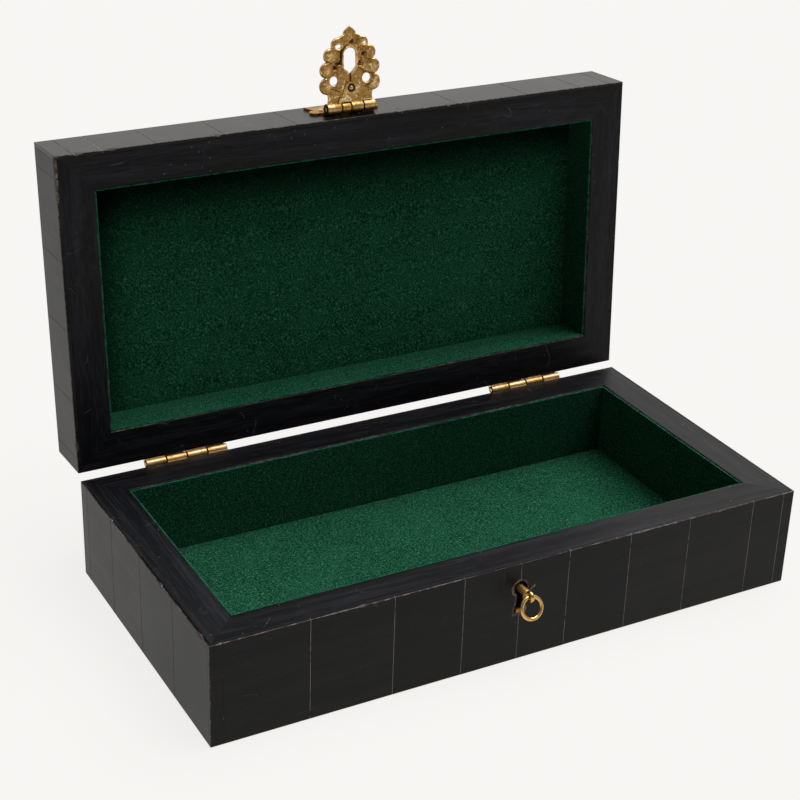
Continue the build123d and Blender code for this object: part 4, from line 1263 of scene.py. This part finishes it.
hasp = {
    "cell": 0.17,
    "halfWide": 13.6,
    "thick": 0.7,  # from the middle to each face
    "lobes": ((5.2, 24.9, 2.9), (8.4, 20.9, 3.0), (10.0, 15.4, 3.1), (9.9, 9.2, 3.4)),
    # where two lobes of a side meet at the outline
    "notches": ((7.9, 23.3), (10.4, 18.3), (11.2, 12.3), (4.4, 27.4), (9.6, 5.6)),
    # the middle that joins the lobes: heights and half widths
    "bodyAt": (0, 4, 9.2, 12.3, 15.4, 18.2, 20.9, 23.2, 25.4, 27.2, 28.2, 28.8),
    "bodyHalf": (10.2, 9.6, 10.2, 10.6, 10.4, 9.7, 8.8, 7.5, 6.9, 5.6, 4.0, 2.4),
    "barrel": 2.25,
    "barrelProud": 0.01,
    "bore": 0.85,
    "barrelRound": 0.4,
    "dents": 0.06,
    "stand": 2.7,
    "rise": 6.0,
    "leafFace": 0.94,
    "heel": 3.2,
    "tipTop": 31.9,
    "tipHalf": 2.7,
    "tipFrom": 29.3,
    "window": (13.3, 23.4, 2.6),  # lowest, highest, half width
    "eyes": (7.2, 11.0, 1.8),
    "peeps": ((-5.1, 24.3, 1.35, 0.9), (6.4, 24.9, 0.85, 0.55)),
    "knuckles": (-10.7, -4.3, -0.2, 5.3, 10.7),
    "gap": 0.15,
    "edgeRound": 0.75,
    "outerRound": 0.7,
    "rosette": (0.4, 7.6, 1.25),
    "tab": (-2.6, 2.4, 3.1, 0.65),
    # hollows on the inner face: (u, v, radius, depth)
    "hollows": (
        (0.7, 25.6, 0.95, 0.42), (6.0, 20.6, 1.05, 0.45), (4.5, 17.0, 0.95, 0.42), (-6.7, 16.0, 1.15, 0.50),
        (-5.3, 17.6, 1.15, 0.50), (-8.1, 19.6, 0.5, 0.18), (9.9, 15.6, 0.8, 0.20), (6.6, 13.3, 0.6, 0.28),
    ),
    # creases: (from u, from v, to u, to v, half width, depth)
    "creases": (
        (0.0, 13.6, 0.2, 10.2, 0.55, 0.42), (-3.6, 22.6, -4.3, 17.4, 0.60, 0.38),
        (-8.9, 8.0, -4.6, 6.4, 0.30, 0.22), (-3.6, 6.2, -1.6, 10.4, 0.30, 0.22),
        (3.0, 9.2, 4.0, 6.2, 0.28, 0.20), (6.8, 7.6, 9.8, 9.6, 0.32, 0.26),
        (-7.3, 18.6, -4.4, 20.0, 0.35, 0.22), (-8.2, 13.0, -6.0, 14.6, 0.35, 0.22),
        (3.6, 15.2, 6.6, 13.2, 0.35, 0.24), (3.4, 18.8, 7.0, 18.9, 0.25, 0.18),
        (3.6, 22.8, 6.6, 23.4, 0.30, 0.20), (-2.6, 15.6, -6.2, 13.4, 0.30, 0.20),
    ),
}
lobeList = [(side * u, v, r) for u, v, r in hasp["lobes"] for side in (-1, 1)]


def bell(x, width):
    # 1 at nought, falling away over the width
    return np.exp(-((x / width) ** 2))


def circleGap(a, b, u, v, r):
    return np.hypot(a - u, b - v) - r


def windowGap(a, b):
    # a round top, straight sides and a pointed foot
    low, high, half = hasp["window"]
    top = circleGap(a, b, 0, high - half, half)
    sides = np.maximum(np.abs(a) - half, b - (high - half))
    foot = (np.abs(a) - (b - low)) / math.sqrt(2)
    return np.minimum(top, np.maximum(sides, foot))


def outlineGap(a, b):
    # the nearest of the lobes, the middle that joins them and the onion-shaped tip
    lobes = np.min([circleGap(a, b, *lobe) for lobe in lobeList], axis=0)
    half = np.interp(b, hasp["bodyAt"], hasp["bodyHalf"])
    middle = np.maximum((np.abs(a) - half) * 0.80, np.maximum(b - hasp["bodyAt"][-1], -0.1 - b))
    rise = np.clip((b - hasp["tipFrom"]) / (hasp["tipTop"] - hasp["tipFrom"]), -0.7, 1)
    width = hasp["tipHalf"] * np.where(rise > 0, (1 - np.clip(rise, 0, 1) ** 1.5), np.cos(rise * 0.9))
    tip = np.maximum((np.abs(a) - width) * 0.75, np.maximum(b - hasp["tipTop"], 27.0 - b))
    return np.minimum(np.minimum(lobes, middle), tip)


def haspGap(a, b):
    # positive outside the metal: outside the outline, or inside the window, the eyes and the small holes
    gap = np.maximum(outlineGap(a, b), -windowGap(a, b))
    u, v, r = hasp["eyes"]
    for side in (-1, 1):
        gap = np.maximum(gap, -circleGap(a, b, side * u, v, r))
    for u, v, half, high in hasp["peeps"]:
        gap = np.maximum(gap, -(np.hypot((a - u) / half, (b - v) / high) - 1) * min(half, high))
    return gap


def roundedFall(toEdge, width):
    # how far a quarter-round edge of that width has fallen, from 1 at the edge to 0
    fall = np.clip(toEdge / width, 0, 1)
    return 1 - np.sqrt(np.clip(1 - (1 - fall) ** 2, 0, 1))


def haspRelief(a, b):
    # height of the inner face in mm, and how dark and hollow it is
    toEdge = np.maximum(-haspGap(a, b), 0)
    toWindow = windowGap(a, b)
    height = hasp["thick"] - 0.45 * roundedFall(toEdge, hasp["edgeRound"])
    inLobe, dome = np.zeros(np.shape(a)), np.zeros(np.shape(a))
    # lobes swell, most on the side away from the middle
    for u, v, r in lobeList:
        away = np.hypot(a - u, b - v) / r
        petal = np.clip(1 - away**2, 0, 1)
        facing = softStep((np.abs(a) - abs(u)) / r, -0.9, 0.3)
        height = height + 0.40 * petal * (0.35 + 0.65 * facing)
        inLobe, dome = np.maximum(inLobe, 1 - away), np.maximum(dome, petal)
    # creases round the lobes, deep only near the notches of the outline
    toLobe = np.min([np.abs(np.hypot(a - u, b - v) - r * 0.97) for u, v, r in lobeList], axis=0)
    toNotch = np.min([np.hypot(np.abs(a) - u, b - v) for u, v in hasp["notches"]], axis=0)
    ridge = bell(toLobe, 0.30) * (0.22 + 0.78 * bell(toNotch, 1.5)) * softStep(-outlineGap(a, b), 0.2, 1.0)
    height = height - 0.32 * ridge - 0.12 * (1 - softStep(inLobe, 0.0, 0.15)) * softStep(b, 6.0, 9.0)
    # a groove round the window with a raised lip inside it
    leftSide = softStep(-a, -1.5, 2.5) * softStep(b, 15.0, 18.0)
    groove = bell(np.abs(toWindow - 1.15), 0.5) * (0.25 + 0.75 * leftSide) * softStep(b, 12.5, 15.5)
    lip = bell(toWindow - 0.45, 0.4)
    height = height - 0.42 * groove + 0.22 * lip
    hollow = np.maximum(0.85 * ridge, 0.80 * groove)
    rough = (planeNoise(a, b, 0.7, 71) - 0.5) * 0.9
    for u, v, r, deep in hasp["hollows"]:
        pit = 1 - softStep(np.hypot(a - u, b - v) + rough, r * 0.45, r * 1.35)
        height = height - deep * 1.2 * pit
        hollow = np.maximum(hollow, pit * min(0.85, deep * 1.9))
    for *ends, half, deep in hasp["creases"]:
        line = 1 - softStep(segmentGap(a, b, *ends), half * 0.2, half * 1.3)
        height = height - deep * 1.3 * line
        hollow = np.maximum(hollow, line * min(0.85, deep * 2.4))
    # a rosette with a small boss, the shoulder it stands on, and the tab at the foot
    u, v, r = hasp["rosette"]
    away = np.hypot(a - u, b - v)
    rosette = 1 - softStep(np.abs(away - r), 0.2, 0.75)
    shoulder = softStep(b, 4.6, 6.4) * softStep(-b, -10.5, -8.6) * softStep(-np.abs(a), -5.5, -3.0)
    height = height - 0.34 * rosette + 0.25 * bell(away, 0.5) + 0.12 * shoulder
    hollow = np.maximum(hollow, 0.9 * rosette)
    u, v, r, rise = hasp["tab"]
    away = np.hypot(a - u, b - v)
    tab = 1 - softStep(away, r - 0.22, r)
    height = height + rise * tab
    hollow = np.maximum(hollow, bell(away - r, 0.28) * 0.6 * (b > v))
    # the skin of the casting, and what is made bright: rubbed by wear, and also painted highlight on the
    # domes, the lip, the shoulder, the tab and the edges
    cast, fine = planeNoise(a, b, 1.1, 72), planeNoise(a, b, 0.45, 73)
    height = height + 0.26 * (cast - 0.5) + 0.08 * (fine - 0.5)
    hollow = np.maximum(hollow, 0.5 * softStep(cast, 0.62, 0.92))
    rubbedAndHighlit = 0.22 * softStep(dome, 0.45, 0.95) + 0.34 * lip * (b > 13) + 0.22 * shoulder + 0.25 * tab
    rubbedAndHighlit = rubbedAndHighlit + 0.30 * (1 - softStep(toEdge, 0.15, 0.55)) + 0.30 * softStep(fine + cast, 1.10, 1.45)
    return height, np.clip(np.maximum(hollow, 0.34) - rubbedAndHighlit * (hollow < 0.5), 0, 1)


def haspToWorld(points):
    # u across, v away from the hasp's hinge, w out of its inner face; all in mm, open lid included
    c, s = math.cos(lidAngle), math.sin(lidAngle)
    turned = points @ np.array([[1.0, 0, 0], [0, -c, s], [0, -s, -c]])
    return np.array([haspX, haspY, haspZ]) + mm * turned


def haspCut(a, b):
    # positive where the plate is: in the metal, and clear of the fixed leaf's knuckles
    cut = -haspGap(a, b)
    for i, room in ((1, 0.15), (3, 0.4)):
        u0, u1 = hasp["knuckles"][i], hasp["knuckles"][i + 1]
        half = (u1 - u0) / 2 + room
        cut = np.minimum(cut, -np.minimum(half - np.abs(a - (u0 + u1) / 2), hasp["barrel"] + 0.3 - b))
    return cut


cell = hasp["cell"]
us = np.arange(-hasp["halfWide"], hasp["halfWide"] + cell, cell)
vs = np.arange(hasp["barrel"] * 0.2, hasp["tipTop"] + 2 * cell, cell)
flat, quads = piercedSheet(us, vs, haspCut, 0.26)
a, b = flat[:, 0], flat[:, 1]
innerHeight, hollow = haspRelief(a, b)
outerHeight = hasp["thick"] - 0.42 * roundedFall(np.maximum(-haspGap(a, b), 0), hasp["outerRound"])
inner, outer = np.stack([a, b, innerHeight], 1), np.stack([a, b, -outerHeight], 1)
plate = twoSheets(inner, outer, quads, hollow=(hollow, 0.30 + 0.10 * latticeNoise(outer, 1.3, 75)))
haspShapes = [outward(plate.moved(haspToWorld))]
shutY, shutZ = -halfY - hasp["stand"] * mm, lidLow + hasp["rise"] * mm
for i in (0, 2):
    u0, u1 = hasp["knuckles"][i] + 0.1, hasp["knuckles"][i + 1] - 0.1
    heel = roundedBlock((haspX + u0 * mm, shutY - 0.6 * mm, shutZ),
                        (haspX + u1 * mm, -halfY - hasp["leafFace"] * mm, shutZ + hasp["heel"] * mm),
                        0.2 * mm, 1.5 * mm)
    haspShapes.append(heel.withLid("lid"))
addPiece("hasp_cast_plate", joined(haspShapes), castBrass, "hasp", "hasp_brass", ("hasp_plate",))
for i in range(4):
    u0 = hasp["knuckles"][i] + (hasp["gap"] / 2 if i else 0)
    u1 = hasp["knuckles"][i + 1] - (hasp["gap"] / 2 if i < 3 else 0)
    radius = (hasp["barrel"] + hasp["barrelProud"]) * mm
    shape = barrel(haspX + u0 * mm, haspX + u1 * mm, radius, hasp["bore"] * mm, hasp["barrelRound"] * mm,
                   hasp["dents"] * mm, 80 + i, (0, haspY, haspZ))
    addPiece(f"hasp_knuckle_{i + 1}", shape, castBrass, "lid" if i % 2 else "hasp", "hasp_brass")
slimmer = slimKnuckles(haspY, haspZ, hasp["barrel"] * mm, [haspX + u * mm for u in hasp["knuckles"]])
roundedCopy("hasp_leaf", "hasp_fixed_leaf", 0.12 * mm, castBrass, "lid", "hasp_brass", slimmer, 0.36)
print("hasp ready")

# Key and its ring

keyLook = {
    "out": 6.5 * mm,  # eye's centre in front of the box
    "shank": 1.5 * mm,
    "facets": (8, 0.075),  # how many, and how deep as a share of the radius
    "collar": 1.60 * mm,
    "collarOut": 4.05 * mm,
    "grooves": (3.7, 4.5, 0.2),  # on both sides of the collar and their width, in mm out of the box
    "eye": (1.65 * mm, 0.60 * mm, 0.80 * mm),  # middle radius, half its metal across and along
    "ring": (4.2 * mm, 0.75 * mm),
    "ringTilt": math.radians(20),  # out from hanging straight
    "bit": (5.0 * mm, 1.2 * mm),
    "bitFrom": 6.7 * mm,  # behind the box's front
}
eyePlace = np.array([keyX, -halfY - keyLook["out"], keyZ])
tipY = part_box("key")[1].y


def keyProfile():
    # (distance out of the box, radius): shank, a slim collar and a neck down to the eye
    s, c = keyLook["shank"], keyLook["collar"]
    at, tip = keyLook["collarOut"], -(tipY + halfY)
    return np.concatenate([
        [[tip, 0.75 * s], [tip + 0.3 * mm, 0.97 * s]],
        [[d, s * 0.985] for d in np.linspace(tip + 1 * mm, 3.3 * mm, 18)],
        [[at - 0.36 * mm, s * 0.96]],
        [[at + 0.28 * mm * math.sin(t), s * 0.95 + (c - s * 0.95) * math.cos(t)]
         for t in np.linspace(-quarterTurn, quarterTurn, 9)],
        [[at + 0.36 * mm, s * 0.93], [at + 0.7 * mm, s * 0.78], [at + 1.0 * mm, s * 0.55]],
    ])


shank = lathe(keyProfile(), 48, 1, *keyLook["facets"])
p = shank.points
p[:, 1] = -halfY - p[:, 1]
p[:, [0, 2]] += np.array([keyX, keyZ])
fromBox = (-halfY - p[:, 1]) / mm
before, behind, wide = keyLook["grooves"]
# tarnish in the grooves either side of the collar and in patches, and painted shade where the shank is in the
# hole
stainAndHoleShade = 0.7 * (bell(fromBox - before, wide) + bell(fromBox - behind, wide))
stainAndHoleShade = stainAndHoleShade + 0.85 * (1 - softStep(fromBox, -5.0, -2.2))  # dark where it is in the hole
stainAndHoleShade = stainAndHoleShade + 0.25 * softStep(latticeNoise(p, 1.5 * mm, 91), 0.55, 0.9)
shank = outward(Shape(p, shank.quads, hollow=np.clip(stainAndHoleShade, 0, 1)))
bitHigh, bitThick = keyLook["bit"]
bit = roundedBlock((keyX - bitThick / 2, keyLook["bitFrom"] - halfY, keyZ - bitHigh),
                   (keyX + bitThick / 2, tipY, keyZ), 0.15 * mm, 1.5 * mm)
eye = ringShape(*keyLook["eye"], 48, 20, 0.02)
eye = outward(Shape(eye.points + eyePlace, eye.quads, hollow=0.1))
addPiece("key_turned", joined([shank, bit]), shankBrass, "key", "key_brass", ("key",))
addPiece("key_eye", eye, keyBrass, "key", "key_brass")
big, wire = keyLook["ring"]
ring = ringShape(big, wire, wire, 120, 24, 0.015)
y, x, z = ring.points.T
c, s = math.cos(keyLook["ringTilt"]), math.sin(keyLook["ringTilt"])
points = np.stack([x, y * c + (z - big) * s, (z - big) * c - y * s], 1) + eyePlace
worn = 0.35 * softStep(latticeNoise(points, 1.8 * mm, 92), 0.62, 0.9)
ring = outward(Shape(points, ring.quads, hollow=worn))
addPiece("key_ring_wire", ring, keyBrass, "key_ring", "key_brass", ("key_ring",))
print("key ready")

# Wood, and the metal parts whose CAD shape is kept

woodLook = {
    "dark": rgb(0.115, 0.062, 0.030),
    "light": rgb(0.270, 0.165, 0.090),
    "soot": rgb(0.004, 0.0035, 0.003),  # the wood round the bore behind the keyhole is painted nearly black
    "sootAt": (13.0 * mm, 19.0 * mm),
    "bump": (0.4, 0.1 * mm),
    "steelDark": rgb(0.16, 0.15, 0.14),
    "steelLight": rgb(0.42, 0.41, 0.40),
}
wood, place = newMaterial("case_wood_look", Roughness=0.72)
grained = stretched(place, (0.06, 1.0, 1.0))
woodLines = noise(grained, grains["woodLines"], 5.0, 0.6)
woodMix = woodLines * 0.6 + noise(grained, grains["woodGrowth"], 3.0, 0.5) * 0.4
fromKey = vectorMaths("DISTANCE", place, (keyX, -halfY, keyZ))["Value"]
woodColour = blend(woodMix.ramp(0.36, 0.64), woodLook["dark"], woodLook["light"])
woodColour = blend(fromKey.ramp(*woodLook["sootAt"]), woodLook["soot"], woodColour)
shade(wood, Base_Color=woodColour, Normal=bump(woodLines, *woodLook["bump"]))

steel, place = newMaterial("lock_steel_look", Metallic=1.0)
steelNoise = noise(place, grains["steel"], 4.0, 0.6)
steelColour = blend(steelNoise, woodLook["steelDark"], woodLook["steelLight"])
shade(steel, Base_Color=steelColour, Roughness=steelNoise.ramp(0.3, 0.7, 0.25, 0.5))

walls = [f"{body}_{sideName}_wall" for body in ("base", "lid") for sideName in sidesOf]
for look, nodeNames in (
    (wood, ["base_bottom_board", "lid_top_board", *walls]),
    (lockBrass, ["lock_case", "lock_cap", "lock_cam"]),
    (stubBrass, ["keyhole_liner_stub"]),
    (steel, ["lock_screws", "bolt_spring", "lock_bolt"]),
):
    for nodeName in nodeNames:
        frame["nodes"][nodeName].data.materials.clear()
        frame["nodes"][nodeName].data.materials.append(look)
for nodeName, body, slot, look in (
    ("base_hinge_screws", "base", "hinge_brass", drawnBrass),
    ("lid_hinge_screws", "lid", "hinge_brass", drawnBrass),
    ("left_hinge_pin", "base", "hinge_brass", drawnBrass),
    ("right_hinge_pin", "base", "hinge_brass", drawnBrass),
    ("hasp_pin", "lid", "hasp_brass", castBrass),
    ("hasp_leaf_pins", "lid", "hasp_brass", castBrass),
):
    roundedCopy(nodeName, nodeName + "_finish", 0.05 * mm, look, body, slot)
print("kept parts ready")

# Floor, light and camera

studio = {
    "floor": rgb(0.62, 0.612, 0.600),
    "floorHalf": 6.0,
    "seenFloor": rgb(0.986, 0.973, 0.955),
    "seenShare": 0.85,  # of the floor's own colour that the camera and reflections see unshaded
    "worldColour": rgb(1.0, 0.99, 0.975),
    "worldFill": 0.16,
    "worldSeen": 0.93,
    "skyDim": 0.22,  # what reflections see of the studio round the camera
    "skyBright": (0.45, 0.78, 0.44),
    "skyEdges": (-0.25, 0.75),
    "sunStrength": 2.85,
    "sunSpread": 54.0,  # degrees across
    "sunFrom": (0.40, -0.02, 1.0),
}


def raysSeen(tree):
    # 1 for the rays that look at the studio: straight from the camera, mirrored, or through something clear
    paths = node(tree, "ShaderNodeLightPath")
    return paths["Is Camera Ray"].larger(paths["Is Glossy Ray"]).larger(paths["Is Transmission Ray"])


floorMesh = bpy.data.meshes.new("floor")
h = studio["floorHalf"]
floorMesh.from_pydata([(-h, -h, 0), (h, -h, 0), (h, h, 0), (-h, h, 0)], [], [(0, 1, 2, 3)])
floorLook, place = newMaterial("floor_look", Roughness=0.9, IOR=1.2, Base_Color=studio["floor"])
tree = place.tree
plain = Wire(tree, tree.nodes["Principled BSDF"].outputs[0])
glow = node(tree, "ShaderNodeEmission", {"Color": studio["seenFloor"], "Strength": 1.0})[0]
mixed = node(tree, "ShaderNodeMixShader", {0: raysSeen(tree) * studio["seenShare"], 1: plain, 2: glow})[0]
connect(tree, tree.nodes["Material Output"], {"Surface": mixed})
floorMesh.materials.append(floorLook)
floor = bpy.data.objects.new("floor", floorMesh)
bpy.context.scene.collection.objects.link(floor)

world = bpy.data.worlds.new("studio")
bpy.context.scene.world = world
world.use_nodes = True
tree = world.node_tree
rayPlace = node(tree, "ShaderNodeTexCoord")["Generated"]
towards = vectorMaths("DOT_PRODUCT", rayPlace, studio["skyBright"])["Value"]
sky = towards.ramp(*studio["skyEdges"], studio["skyDim"], studio["worldSeen"])
sky = sky.larger(node(tree, "ShaderNodeLightPath")["Is Camera Ray"] * studio["worldSeen"])
strength = node(tree, "ShaderNodeMix", {0: raysSeen(tree), 2: studio["worldFill"], 3: sky})[0]
connect(tree, tree.nodes["Background"], {"Strength": strength, "Color": studio["worldColour"]})


def lookFrom(thing, place, right, up, back):
    # a lamp or camera in the scene, given by its place and the directions of its three axes
    item = bpy.data.objects.new(thing.name, thing)
    bpy.context.scene.collection.objects.link(item)
    item.matrix_world = Matrix([[right[k], up[k], back[k], place[k]] for k in range(3)] + [[0, 0, 0, 1]])
    return item


sun = bpy.data.lights.new("key_light", "SUN")
sun.energy, sun.angle = studio["sunStrength"] * math.pi / 3, math.radians(studio["sunSpread"])
comesFrom = np.array(studio["sunFrom"]) / np.linalg.norm(studio["sunFrom"])
sunSide = np.cross([0, 1, 0], comesFrom)
sunSide /= np.linalg.norm(sunSide)
lookFrom(sun, (0, 0, 0), sunSide, np.cross(comesFrom, sunSide), comesFrom)

view = {
    "place": (-0.3168, -0.5306, 0.3827),
    "heading": 29.278,  # degrees from +Y towards +X
    "down": 26.180,
    "roll": 1.917,
    "lens": 80.84,
}
heading, down, roll = (math.radians(view[key]) for key in ("heading", "down", "roll"))
ahead = np.array([math.sin(heading) * math.cos(down), math.cos(heading) * math.cos(down), -math.sin(down)])
levelRight = np.array([math.cos(heading), -math.sin(heading), 0])
levelUp = np.cross(levelRight, ahead)
right = levelRight * math.cos(roll) + levelUp * math.sin(roll)
up = levelUp * math.cos(roll) - levelRight * math.sin(roll)
cameraData = bpy.data.cameras.new("camera")
cameraData.lens, cameraData.sensor_width = view["lens"], 36.0
cameraData.clip_start, cameraData.clip_end = 0.01, 50.0
bpy.context.scene.camera = lookFrom(cameraData, view["place"], right, up, -ahead)
bpy.context.scene.view_settings.view_transform = "Standard"
print("stage ready")

bpy.context.view_layer.update()
